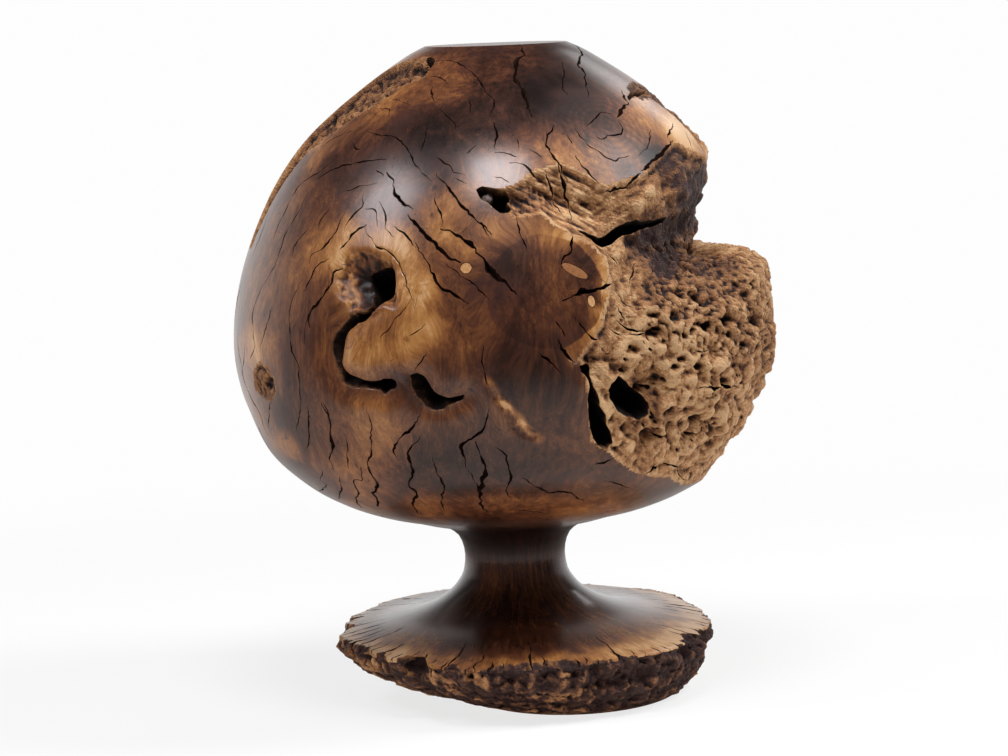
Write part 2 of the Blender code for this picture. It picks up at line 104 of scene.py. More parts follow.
def smooth_curve(knots, samples=SAMPLES):
    """A Catmull-Rom curve through the knots."""
    p = np.array(knots, float)
    p = np.vstack([2 * p[0] - p[1], p, 2 * p[-1] - p[-2]])
    t = np.linspace(0, 1, samples, endpoint=False)[:, None]
    spans = [
        0.5 * (2 * b + (c - a) * t + (2 * a - 5 * b + 4 * c - d) * t**2 + (3 * b - a - 3 * c + d) * t**3)
        for a, b, c, d in zip(p, p[1:], p[2:], p[3:])
    ]
    return np.vstack(spans + [p[-2:-1]])


OUTLINE = smooth_curve(GLOBE + STEM + [(RIM_RADIUS, RIM_HEIGHT)]) * (INSET, 1)
TANGENT = np.gradient(OUTLINE, axis=0)
TANGENT /= np.linalg.norm(TANGENT, axis=1)[:, None]
GLOBE_END = SAMPLES * (len(GLOBE) - 1) + 1


def spaced(curve, step, closed=False):
    """Points along the curve about one step apart, both ends kept."""
    if closed:
        curve = np.vstack([curve, curve[:1]])
    along = np.concatenate([[0], np.cumsum(np.linalg.norm(np.diff(curve, axis=0), axis=1))])
    marks = np.linspace(0, along[-1], int(along[-1] / step) + 1)
    return np.stack([np.interp(marks, along, curve[:, k]) for k in range(curve.shape[1])], 1)


AT_ONCE = 8000


def square_to_outline(points):
    """Normals of the polished surface nearest to each point, in millimetres."""
    radius = np.hypot(points[:, 0], points[:, 1])
    made = np.empty_like(points)
    for start in range(0, len(points), AT_ONCE):
        part = slice(start, start + AT_ONCE)
        far = (radius[part, None] - OUTLINE[:, 0]) ** 2 + (points[part, 2, None] - OUTLINE[:, 1]) ** 2
        tangent = TANGENT[np.argmin(far, axis=1)]
        out = points[part, :2] / np.maximum(radius[part, None], 1e-9)
        made[part, :2] = -tangent[:, 1:] * out
        made[part, 2] = tangent[:, 0]
    return made


def globe_radius(height):
    return np.interp(-np.asarray(height, float), -OUTLINE[:GLOBE_END, 1], OUTLINE[:GLOBE_END, 0])


def azimuth_of(points):
    """The azimuth of each point, in degrees; 0 faces the picture and 90 is its right."""
    return np.degrees(np.arctan2(points[:, 0], -points[:, 1]))


def on_turning(azimuth, height):
    """The point of the polished globe at an azimuth and height."""
    radius = globe_radius(height)
    a = np.radians(azimuth)
    return np.stack([radius * np.sin(a), -radius * np.cos(a), np.broadcast_to(height, radius.shape)], -1)


def seen_at(x, y):
    """The point of the polished globe that the picture shows at pixel x, y."""
    across, rise = x - PICTURE[0] / 2, PICTURE[1] / 2 - y
    sight = AHEAD * FOCAL_PX + RIGHT * across + UP * rise
    sight /= np.linalg.norm(sight)
    path = EYE + sight * np.arange(1480.0, 1720.0, 0.4)[:, None]
    past = np.hypot(path[:, 0], path[:, 1]) - globe_radius(path[:, 2])
    past[path[:, 2] > HEIGHT] = 99
    first = np.argmax(past <= 0) if (past <= 0).any() else np.argmin(past)
    return path[first]


def seen_points(numbers):
    """The places on the polished globe of the pixels x, y, x, y …"""
    return np.array([seen_at(x, y) for x, y in zip(numbers[::2], numbers[1::2])])


def pixels_of(points):
    """The pixels at which the picture shows the points."""
    way = points - EYE
    ahead = way @ AHEAD
    return np.stack([
        PICTURE[0] / 2 + FOCAL_PX * (way @ RIGHT) / ahead, PICTURE[1] / 2 - FOCAL_PX * (way @ UP) / ahead], -1)


print("the middle of the picture lies at", np.round(seen_at(504, 300), 1))

# %% [markdown]
# ## Where the skin shows
# The burl's skin is left in four places on the globe, and the turner has carved or filled three small ones. Each
# is a border on the surface, given as azimuth and height, and what lies inside it is sunk below the polish.

# %% Borders of the skin
SKIN_RADIUS = 115.0
RIGHT_FACE = [
    (-4, 239.5), (-2, 234), (2.8, 228.2), (8.6, 229), (11, 225), (16, 219), (22, 210), (22, 200), (19, 181),
    (14, 167), (16, 150), (17, 130), (26, 118), (33, 112), (57, 101), (85, 97), (115, 103), (134, 124), (141, 155),
    (137, 190), (130, 215), (122, 236), (106, 248), (90, 252), (76, 249), (69, 247), (62, 251), (56, 254.5),
    (47, 250), (38, 243), (31, 240), (26, 239), (21, 244), (17, 249), (13, 249), (7, 245.5), (3, 241.5),
]
LEFT_SHOULDER = [
    (-38, 294), (-37, 287), (-45, 283.4), (-48.5, 279.2), (-51, 275), (-55, 272.8), (-60, 267.6), (-64, 262),
    (-69, 255), (-72, 249), (-74, 242), (-76, 232), (-78, 222), (-80, 213), (-85, 211), (-88, 222), (-90, 238),
    (-92, 254), (-94, 268), (-95, 280), (-90, 288), (-74, 293.5), (-50, 296.5),
]
RIGHT_SHOULDER = [
    (56, 275), (62, 279.5), (76, 281), (96, 276), (118, 268), (138, 252), (146, 236), (139, 222), (120, 228),
    (104, 242), (90, 246), (78, 244), (70, 246), (71, 252), (72, 258), (72.5, 264), (72, 270), (70, 274.5),
    (62, 273.5),
]
REAR_PATCH = [
    (183, 215), (189, 225), (196, 218), (203, 227), (212, 218), (210, 206), (220, 197), (214, 185), (217, 172),
    (207, 161), (200, 167), (193, 152), (186, 161), (189, 176), (181, 188), (186, 202),
]


def border_of(*numbers):
    """A border on the globe from the pixels x, y, x, y … that it is seen at."""
    return [(math.degrees(math.atan2(x, -y)), z) for x, y, z in seen_points(numbers)]


POCKET = border_of(339, 257, 350, 250, 365, 247, 379, 250, 391, 256, 398, 265, 400, 285, 402, 300, 396, 312, 384, 308,
    368, 313, 348, 314, 343, 306, 336, 297, 333, 283, 334, 269)
STRIP = border_of(485, 379, 492, 388, 504, 392, 509, 402, 517, 415, 527, 424, 541, 431, 543, 440, 535, 442, 522, 440,
    509, 430, 502, 416, 494, 404, 487, 393)
PIT = border_of(253, 372, 260, 364, 268, 366, 273, 378, 276, 392, 271, 400, 262, 398, 255, 388)

# name: (border, depth at the edge, depth further in, slope at the edge, lumps)
SKINS = {
    "right_face": (RIGHT_FACE, 2.6, 6.5, 2.6, 3.6),
    "left_shoulder": (LEFT_SHOULDER, 3.4, 6.5, 3.0, 2.6),
    "right_shoulder": (RIGHT_SHOULDER, 1.2, 3.4, 2.0, 2.2),
    "rear_patch": (REAR_PATCH, 3.0, 7.0, 3.0, 3.0),
    "pocket": (POCKET, 1.6, 7.0, 4.0, 0.5),
    "strip": (STRIP, 0.7, 0.7, 1.2, 0.3),
    "pit": (PIT, 1.0, 2.6, 1.6, 1.0),
}
print("skin shows in", len(SKINS), "places")

# %% Distances inside a border
def inside_distance(points, border):
    """How far each point lies inside the border, in millimetres along the surface; negative outside."""
    azimuth = azimuth_of(points)
    if max(a for a, _ in border) > 180:
        azimuth = np.where(azimuth < 0, azimuth + 360, azimuth)
    here = np.stack([np.radians(azimuth) * SKIN_RADIUS, points[:, 2]], -1)
    corner = np.array([(math.radians(a) * SKIN_RADIUS, h) for a, h in border])
    inside = np.zeros(len(here), bool)
    nearest = np.full(len(here), np.inf)
    for a, b in zip(corner, np.roll(corner, -1, axis=0)):
        crosses = (a[1] > here[:, 1]) != (b[1] > here[:, 1])
        rise = b[1] - a[1] if b[1] != a[1] else 1.0
        inside ^= crosses & (here[:, 0] < a[0] + (here[:, 1] - a[1]) * (b[0] - a[0]) / rise)
        share = np.clip(((here - a) @ (b - a)) / ((b - a) @ (b - a)), 0, 1)
        nearest = np.minimum(nearest, np.linalg.norm(here - a - share[:, None] * (b - a), axis=1))
    return np.where(inside, nearest, -nearest)


def inside_any(points):
    """How far each point lies inside the nearest of the skins."""
    return np.max([inside_distance(points, border) for border, *_ in SKINS.values()], axis=0)


def smooth_step(value):
    """0 below 0, 1 above 1 and smooth between."""
    value = np.clip(value, 0, 1)
    return value * value * (3 - 2 * value)


# %% [markdown]
# ## Roughness by noise
# The skin is warty, pitted and split. Blender's own noise functions give each kind of roughness, at its real size
# in millimetres: rounded warts from cell noise, pits and waves from gradient noise, and splits where a stretched
# noise passes through zero.

# %% Noise in millimetres
def waves(points, size, stretch=(1, 1, 1), shift=0.0):
    scaled = points / (np.array(stretch) * size) + shift
    return np.array([noise.noise(Vector(p)) for p in scaled])


def warts(points, size, shift=0.0):
    """Rounded cells, about 0.5 on a wart's top and below 0 between warts."""
    scaled = points / size + shift
    return np.array([0.55 - noise.voronoi(Vector(p))[0][0] for p in scaled])


def domes(points, size, shift=0.0):
    """Round nodules, 1 on top and 0 or less in the creases between them."""
    scaled = points / size + shift
    return np.array([1 - 2.0 * noise.voronoi(Vector(p))[0][0] ** 2 for p in scaled])


def lumps(points, size):
    return np.array([
        0.6 - noise.voronoi(Vector(p) / size)[0][0] + 0.5 * noise.noise(Vector(p) / (0.55 * size)) for p in points
    ])


def near(points, azimuth, height, reach):
    """1 at a place of the globe, falling to 0 around it."""
    away = np.linalg.norm(points - on_turning(azimuth, height), axis=1)
    return np.exp(-((away / reach) ** 2))


# %% Hollows and swellings of the skin
# azimuth, height, reach, depth; a swelling has a depth below zero
SWELLS = [
    (54, 246, 16, -4), (38, 236, 13, -5), (24, 229, 12, 2.5), (14, 238, 12, 2.5), (30, 150, 16, 5),
    (46, 128, 18, 4.5), (72, 120, 24, 3), (72, 192, 24, -5), (92, 190, 24, -5), (58, 180, 14, -3), (46, 172, 16, 3),
    (84, 158, 26, -4), (74, 139, 14, 3), (115, 188, 26, 4), (120, 142, 26, 4), (29, 150, 9, 4), (36, 183, 14, -2),
]
# Under the ridge the skin falls back into a notch, and the lobe below it has a nearly level top.
NOTCH_AT_LIMB = [
    (196, 0), (203, 4), (206.5, 9), (209.5, 29), (214, 28), (221, 22), (227, 19), (233, 14), (239, 6), (247, 2.5),
    (256, 0),
]
NOTCH_IN_FRONT = [(182, 0), (190, 3), (200, 9), (210, 17), (219, 22), (226, 19), (231, 10), (238, 2), (250, 0)]
NOTCH_SHARE = [(20, 0), (26, 0.12), (34, 0.42), (44, 0.75), (56, 1), (104, 1), (122, 0.5), (138, 0)]
NOTCH_DROP = [(22, 14), (35, 7), (47, 4), (60, 0)]


def notch_depth(azimuth, height):
    """How far the notch under the ridge goes in, from its section in front and its section at the limb."""
    drop = np.interp(azimuth, *zip(*NOTCH_DROP))
    share = np.interp(azimuth, *zip(*NOTCH_SHARE))
    at_limb = np.interp(height, *zip(*NOTCH_AT_LIMB))
    in_front = np.interp(height + drop, *zip(*NOTCH_IN_FRONT))
    far = smooth_step((azimuth - 58) / 14)
    return share * (far * at_limb + (1 - far) * in_front)


def skin_depth(points):
    """How deep the skin lies below the polished surface at each point of it; 0 where the wood is polished."""
    depth = np.zeros(len(points))
    jag = 1.2 * waves(points, 7.0) + 0.7 * waves(points, 2.6, shift=9.0)
    rough = lumps(points, 11.0)
    for border, edge_depth, full_depth, slope, relief in SKINS.values():
        inside = inside_distance(points, border) + jag
        edge, deep = smooth_step(inside / slope), smooth_step(inside / 13.0)
        depth = np.maximum(depth, edge * (edge_depth + deep * (full_depth - edge_depth - relief * rough)))
    inside = inside_distance(points, RIGHT_FACE) + jag
    open_face = smooth_step(inside / 8.0)
    for azimuth, height, reach, amount in SWELLS:
        depth += open_face * amount * near(points, azimuth, height, reach / 1.5)
    height = points[:, 2] + 1.6 * waves(points, 9.0, shift=3.0)
    depth += smooth_step(inside / 5.0) * notch_depth(azimuth_of(points), height)
    depth += 5 * near(points, -27, 201, 10) * smooth_step(inside_distance(points, POCKET) / 6)
    return np.maximum(depth, 0.35 * smooth_step(inside / 2.0)), inside


# x, y in the picture, reach and depth in millimetres
SKIN_PITS = [
    (684, 316, 3.2, 4), (692.5, 361, 2.0, 3.5), (684, 369.5, 1.8, 3), (711.5, 367.7, 2.1, 3.5), (753, 347, 2.6, 3.5),
    (677, 417, 2.8, 4), (658, 439, 3.4, 4.5), (679, 433, 2.6, 4), (766, 320, 3.0, 4), (663, 331.5, 2.6, 2.5),
    (660, 314, 2.0, 2.5), (737, 320, 3.0, 3.5), (748, 325, 2.4, 3), (725, 262, 2.6, 3), (700, 285, 2.6, 3),
    (720, 300, 2.4, 3), (744, 290, 2.8, 3.5), (705, 330, 2.2, 2.5), (735, 385, 2.2, 2.5), (700, 405, 2.4, 2.5),
    (640, 350, 3.0, 1.6), (625, 372, 3.5, 2), (668, 385, 3.0, 1.5), (730, 410, 2.4, 2.5), (712, 425, 2.6, 2.5),
]


def streaks(points, lean, long, across, shift=0.0):
    """Noise drawn out along a line that falls to the right by lean degrees."""
    c, d = math.cos(math.radians(lean)), math.sin(math.radians(lean))
    turned = np.column_stack([
        (points[:, 0] * c - points[:, 2] * d) / long, points[:, 1] / (2.5 * across),
        (points[:, 0] * d + points[:, 2] * c) / across])
    return waves(turned, 1.0, shift=shift)


def skin_relief(turned, points, inside):
    """The finer roughness of the skin: how far it is dug in (above 0) or stands proud (below 0)."""
    x, y = pixels_of(points).T
    face = smooth_step(inside / 3.0)
    funnel = smooth_step(inside_distance(turned, POCKET) / 2.0)
    other = (1 - face) * smooth_step(-1 - inside) * (1 - funnel)
    low = face * smooth_step((y - 330 - 0.12 * (x - 640)) / 22)
    lobe = face * (1 - low) * smooth_step((x - 636) / 26) * smooth_step((y - 236) / 12)
    ridge = face * smooth_step((x - 575) / 20) * smooth_step((246 - y) / 10) * smooth_step((714 - x) / 14)
    valley = face * smooth_step((606 - x) / 24) * smooth_step((236 - y) / 10)
    calm = face * (1 - low) * (1 - lobe) * (1 - ridge) * (1 - valley)

    dig = -(1.5 * lobe + 0.25 * calm + 0.9 * other) * domes(points, 3.6)
    dig -= (1.5 * lobe + 0.45 * low + 0.3 * calm + 0.7 * other) * warts(points, 2.2, 6.0)
    bent = points + 1.8 * waves(points, 5.0)[:, None]
    dig -= (2.2 * low + 1.0 * lobe + 1.2 * other) * (domes(bent, 11.0, 4.0) - 0.3)
    dig -= 0.8 * low * domes(bent, 5.5, 9.0)
    pits = smooth_step((waves(points, 3.2, (1.3, 1.3, 0.8), 5.0) - 0.26) / 0.2)
    dig += (1.2 * lobe + 1.0 * other) * pits
    deep = smooth_step((waves(points, 6.4, (1.3, 1.3, 0.7), 15.0) - 0.32) / 0.2)
    dig += (2.6 * lobe + 0.6 * low + 1.6 * other) * deep
    split = np.abs(waves(points, 9.0, (2.2, 2.2, 0.34), 2.0))
    parted = smooth_step((waves(points, 12.0, shift=7.0) - 0.10) / 0.15)
    dig += (3.0 * low + 0.8 * lobe + 1.0 * calm + 0.8 * other) * smooth_step(1 - split / 0.045) * parted
    dig += (0.9 * lobe + 0.35 * low + 0.3 * calm + 0.6 * other) * waves(points, 1.9, shift=3.0)
    dig += low * 0.7 * waves(points, 4.6, (1.3, 1.3, 0.6), 11.0)
    dig += calm * (1.5 * waves(points, 9.0, (1, 1, 0.7), 8.0) + 0.5 * waves(points, 2.6, (1, 1, 0.5)))
    dig += ridge * (1.6 * streaks(points, -24, 14, 5, 12.0) + 0.8 * streaks(points, -30, 8, 1.7, 3.0))
    dig += valley * (1.3 * streaks(points, 34, 13, 3.0, 4.0) + 1.5 * streaks(points, 30, 11, 1.3, 9.0))
    dig += valley * (1.0 * streaks(points, 84, 9, 1.4, 31.0) * smooth_step((560 - x) / 20))
    dig -= funnel * (1.1 * smooth_step((376 - x) / 10) + 0.15) * (0.9 * domes(bent, 6.0, 2.0) + 0.5 * domes(bent, 3.0))
    dig += funnel * (1.0 * waves(points, 3.0) + 0.6 * waves(points, 1.6, shift=5.0))
    for px, py, reach, down in SKIN_PITS:
        away = np.linalg.norm((turned - seen_at(px, py)) / (1.35, 1.35, 0.8), axis=1)
        dig += down * smooth_step(1.5 - away / reach)
    return dig


# %% [markdown]
# ## Hollows
# A hollow's mouth is an outline in the picture. The polish rounds over towards it, so the globe's faces are made
# finer near a mouth and dip a little. Later a cutter follows the mouth, and goes in with lumpy walls.

# %% Mouths of the hollows
# name: (depth, how much it widens inside, x, y, x, y … of the mouth's outline in the picture)
MOUTHS = {
    "left_hole": (26, 1.1, [362, 278, 365, 272, 373, 268, 383, 266.5, 390, 267, 394, 272, 393, 280, 389, 289, 383,
        299, 375, 310, 366, 318, 357, 322, 351, 318, 355, 312, 364, 310, 369, 305, 366, 297, 363, 288]),
    "left_channel": (14, 1.0, [345, 318, 351, 313, 358, 314, 362, 318, 354, 324, 347, 330, 343, 337, 341, 346, 340,
        355, 338, 363, 341, 370, 347, 376, 358, 380, 368, 383, 376, 382, 384, 380, 392, 380, 397, 385, 395, 391,
        388, 393, 383, 397, 377, 392, 366, 391, 355, 391, 345, 389, 339, 384, 334, 374, 331.5, 361, 329, 350, 329,
        340, 333, 331, 340, 325]),
    "crescent": (13, 1.0, [409, 376, 416, 373, 424, 377, 430, 387, 437, 395, 447, 399, 457, 397, 465, 395, 462, 401,
        451, 406, 442, 410.5, 433, 411.5, 424, 408, 415, 399, 409, 388]),
    "eye": (11, 1.0, [476, 190, 481, 186, 489, 187.5, 498, 189, 508, 190.5, 513, 196, 509, 201, 513, 207, 508, 213,
        501, 214, 494, 209, 488, 203, 480, 199]),
    "low_slot": (20, 1.05, [580, 366, 586, 364, 592, 366, 593, 372, 592, 380, 595, 389, 600, 398, 602, 408, 607,
        417, 609, 427, 614, 436, 614, 445, 607, 450, 599, 447, 593, 438, 590, 426, 589, 411, 588, 399, 591, 389,
        588, 379, 582, 374]),
    "low_hole": (24, 1.05, [615, 387, 624, 379, 634, 385, 642, 394, 651, 401, 657, 409, 656, 419, 646, 426, 634,
        422, 624, 415, 616, 404, 613, 395]),
    "ridge_gap": (26, 1.1, [583, 227, 590, 228, 598, 231, 606, 233.5, 613, 230, 622, 222, 630, 218, 638, 215, 650,
        213, 662, 211, 675, 207.5, 688, 204, 690, 206.5, 678, 211.5, 664, 216, 656, 218.5, 648, 222, 640, 225, 632,
        228, 627, 232, 622, 237, 615, 240, 608, 243, 600, 240, 594, 235, 586, 231]),
    "shoulder_slot": (9, 1.0, [627, 97, 631, 91, 638, 89, 646, 90, 648, 93, 640, 95, 633, 97, 629, 101]),
    "top_knot": (6, 0.9, [425, 60, 429, 57, 434, 58, 436, 62, 432, 65, 427, 64]),
}
# how far the polish dips at a mouth, and how far from it the dip starts, in millimetres
SOFT_EDGES = {"left_hole": (1.3, 4.0), "left_channel": (2.3, 5.0), "crescent": (1.7, 4.5),
              "low_slot": (0.9, 3.0)}


def mouth_dip(points):
    """How far the polished surface dips towards the mouths of the hollows."""
    dip = np.zeros(len(points))
    for name, (amount, reach) in SOFT_EDGES.items():
        rim = spaced(seen_points(MOUTHS[name][2]), 1.5, closed=True)
        close = np.abs(points - rim.mean(axis=0)).max(axis=1) < 60
        away = np.linalg.norm(points[close, None] - rim[None], axis=2).min(axis=1)
        dip[close] = np.maximum(dip[close], amount * np.exp(-((away / reach) ** 2)))
    return np.where(dip > 0.02, dip, 0)


# %% [markdown]
# ## The globe's blank
# A UV sphere has the rings and columns that a lathe leaves, so its rings are simply moved to the outline. Where
# skin will show, the faces are subdivided, and then each point there is moved in along the outline's normal.

# %% Turning a blank
def read(items, name, wide=1, kind=float):
    """One property of all the items of a mesh, as an array."""
    flat = np.empty(len(items) * wide, kind)
    items.foreach_get(name, flat)
    return flat.reshape(-1, wide) if wide > 1 else flat


def places(piece):
    """A piece's points, in millimetres."""
    return read(piece.data.vertices, "co", 3) / MM


def put_places(piece, points):
    piece.data.vertices.foreach_set("co", (points * MM).ravel())
    piece.data.update()


def turned_blank(name, rows, columns):
    """A UV sphere whose rings are moved to the rows of radius and height."""
    bpy.ops.object.select_all(action="DESELECT")
    bpy.ops.mesh.primitive_uv_sphere_add(segments=columns, ring_count=len(rows) - 1, radius=1)
    piece = bpy.context.object
    piece.name = piece.data.name = name
    points = places(piece) * MM
    ring = np.rint(np.arccos(np.clip(points[:, 2], -1, 1)) / math.pi * (len(rows) - 1)).astype(int)
    out = points[:, :2] / np.maximum(np.linalg.norm(points[:, :2], axis=1), 1e-9)[:, None]
    put_places(piece, np.column_stack([out * rows[ring, :1], rows[ring, 1]]))
    print(name, "blank:", len(piece.data.polygons), "faces")
    return piece


def subdivide_where(piece, wanted, cuts):
    """Subdivides the faces for which wanted is true."""
    bpy.ops.object.mode_set(mode="EDIT")
    bpy.ops.mesh.select_mode(type="FACE")
    bpy.ops.mesh.select_all(action="DESELECT")
    bpy.ops.object.mode_set(mode="OBJECT")
    piece.data.polygons.foreach_set("select", np.asarray(wanted, bool))
    bpy.ops.object.mode_set(mode="EDIT")
    bpy.ops.mesh.subdivide(number_cuts=cuts)
    bpy.ops.object.mode_set(mode="OBJECT")


def face_middles(piece):
    return read(piece.data.polygons, "center", 3) / MM


WAIST = 65.0
GLOBE_STEP = 3.35
GLOBE_COLUMNS = 228
waist_row = int(np.argmin(np.abs(OUTLINE[:, 1] - WAIST) + (OUTLINE[:, 0] > 26) * 99))
globe_rows = np.vstack([
    [(0, HEIGHT), (16, HEIGHT)], spaced(OUTLINE[: waist_row + 1], GLOBE_STEP), [(0, OUTLINE[waist_row, 1])]])
globe = turned_blank("burl_globe", globe_rows, GLOBE_COLUMNS)

# %% Letting the skin show
# No skin shows below this height or inside this radius of the top.
SKIN_LOWEST, TOP_KEPT = 84, 30
# Past this azimuth the picture shows nothing, and one cut of each face is enough.
BEHIND = 104
# The ledge that the notch leaves: its azimuth and heights, cut once more.
LEDGE = (48, 201.5, 211.5)
# Warts that would stand out further to the right than this are pressed in, so that the box of the solid holds them.
SIDE_LIMIT, SIDE_GIVE = 121.6, 1.5


def rough_faces():
    """Which faces lie in the skin or at a mouth, and their azimuths and heights."""
    middles = face_middles(globe)
    rough = (inside_any(middles) > -5) & (middles[:, 2] > SKIN_LOWEST)
    return rough | (mouth_dip(middles) > 0), azimuth_of(middles), middles[:, 2]


wanted, azimuth, _ = rough_faces()
subdivide_where(globe, wanted & (np.abs(azimuth) <= BEHIND), 2)
wanted, azimuth, _ = rough_faces()
subdivide_where(globe, wanted & (np.abs(azimuth) > BEHIND), 1)
_, azimuth, height = rough_faces()
subdivide_where(globe, (azimuth > LEDGE[0]) & (azimuth < BEHIND) & (height > LEDGE[1]) & (height < LEDGE[2]), 1)

points = places(globe)
skin_points = (points[:, 2] > SKIN_LOWEST) & (np.hypot(points[:, 0], points[:, 1]) > TOP_KEPT)
skin_points &= inside_any(points) > -3
sunk = np.zeros(len(points))
depth, inside_face = skin_depth(points[skin_points])
sunk[skin_points] = depth
square = square_to_outline(points)
put_places(globe, points - square * sunk[:, None])
relief = skin_relief(points[skin_points], places(globe)[skin_points], inside_face)

rough_way = square.copy()
lean = smooth_step((depth - 3) / 5)[:, None]
face_way = read(globe.data.vertices, "normal", 3)[skin_points]
rough_way[skin_points] = square[skin_points] * (1 - lean) + face_way * lean
dug = np.zeros(len(points))
dug[skin_points] = np.where(depth > 0.01, np.maximum(relief * smooth_step(depth / 2.0), 0.02 - depth), 0)
rough = points - square * sunk[:, None] - rough_way * dug[:, None]
past = np.clip(rough[:, 0] - SIDE_LIMIT, 0, None)
pressed = SIDE_LIMIT + SIDE_GIVE * (1 - np.exp(-past / SIDE_GIVE))
rough[:, 0] = np.where(past > 0, pressed, rough[:, 0])
put_places(globe, rough)
sunk[skin_points] = np.where(depth > 0.01, np.maximum(depth + dug[skin_points], 0.02), 0)
dip = np.where(sunk > 0, 0, mouth_dip(points))
put_places(globe, places(globe) - square * dip[:, None])
print("globe:", len(globe.data.polygons), "faces,", int(skin_points.sum()), "points of skin")

# %% [markdown]
# ## Slots for the finishes
# The globe takes four finishes: polish, skin, the walls of hollows and the walls of cracks. Each has a material
# slot, and the cutters carry the same slots, so a Boolean leaves each wall with its own finish.

# %% Material slots
FINISHES = ["polished_burl", "burl_skin", "hollow_wall", "crack_wall"]
POLISH, SKIN, HOLLOW, CRACK = range(4)
for name in FINISHES:
    bpy.data.materials.new(name)


def give_slots(piece, every_face=None):
    for name in FINISHES:
        piece.data.materials.append(bpy.data.materials[name])
    if every_face is not None:
        piece.data.polygons.foreach_set("material_index", np.full(len(piece.data.polygons), every_face))


def mark_skin(piece, sunk):
    """Gives the skin's slot to each face with a sunk corner."""
    corner = read(piece.data.loops, "vertex_index", kind=int)
    deepest = np.maximum.reduceat(sunk[corner], read(piece.data.polygons, "loop_start", kind=int))
    piece.data.polygons.foreach_set("material_index", (deepest > 0.015).astype(int))


give_slots(globe)
filled = (inside_distance(places(globe), POCKET) > -2) | (inside_distance(places(globe), STRIP) > -3)
mark_skin(globe, np.where(filled, 0, sunk))

# %% Hollow cutters
HOLLOW_RING = 1.7


def quiet_select(piece):
    bpy.ops.object.select_all(action="DESELECT")
    piece.select_set(True)
    bpy.context.view_layer.objects.active = piece


def stacked_rings(name, rings, slot):
    """A closed cutter from rings of points, each joined to the next, with a fan at each end."""
    count, around = len(rings), len(rings[0])
    rings = np.array(rings)
    points = np.vstack([rings.reshape(-1, 3), rings[0].mean(axis=0), rings[-1].mean(axis=0)])
    faces = []
    for i in range(count - 1):
        for k in range(around):
            a, b = i * around + k, i * around + (k + 1) % around
            faces.append((a, b, b + around, a + around))
    for k in range(around):
        faces.append((count * around, (k + 1) % around, k))
        last = (count - 1) * around
        faces.append((count * around + 1, last + k, last + (k + 1) % around))
    mesh = bpy.data.meshes.new(name)
    mesh.from_pydata([tuple(p) for p in points * MM], [], faces)
    piece = bpy.data.objects.new(name, mesh)
    bpy.context.scene.collection.objects.link(piece)
    give_slots(piece, slot)
    quiet_select(piece)
    bpy.ops.object.mode_set(mode="EDIT")
    bpy.ops.mesh.select_all(action="SELECT")
    bpy.ops.mesh.normals_make_consistent(inside=False)
    bpy.ops.object.mode_set(mode="OBJECT")
    return piece


def hollow_cutter(name, mouth, depth, widen):
    """A closed cutter that starts outside the mouth, goes in with lumpy walls and narrows to its end."""
    loop = spaced(seen_points(mouth), HOLLOW_RING, closed=True)[:-1]
    outward = square_to_outline(loop)
    inward = -outward.mean(axis=0)
    inward /= np.linalg.norm(inward)
    middle = loop.mean(axis=0)
    rings = [loop + outward * 3.0 + (loop - middle) * 0.04]
    steps = np.linspace(0, depth, max(4, int(depth / 2.4)))
    for step in steps:
        share = step / depth
        grow = 1 + (widen - 1) * math.sin(math.pi * min(share * 1.3, 1)) - 0.6 * share**1.6
        side = (loop - middle) - ((loop - middle) @ inward)[:, None] * inward
        ring = loop + side * (grow - 1) + inward * step
        rough = waves(ring, 3.2) * 0.7 + waves(ring, 8.0, shift=4.0) * 1.2
        rings.append(ring + side / np.linalg.norm(side, axis=1)[:, None] * (rough * min(1, step / 2))[:, None])
    return stacked_rings(name, rings, HOLLOW)


hollows = [hollow_cutter(f"cut_{name}", mouth, depth, widen) for name, (depth, widen, mouth) in MOUTHS.items()]
print(len(hollows), "hollow cutters")

# %% [markdown]
# ## Drying cracks
# A burl's grain runs every way, so it splits as it dries, in thin jagged lines. Each crack is a long thin wedge,
# open at the surface, that wanders from side to side, pinches and ends in a point. Those that the picture shows
# are placed where they are seen: each row is a width in millimetres and then x, y, x, y of its route in pixels.

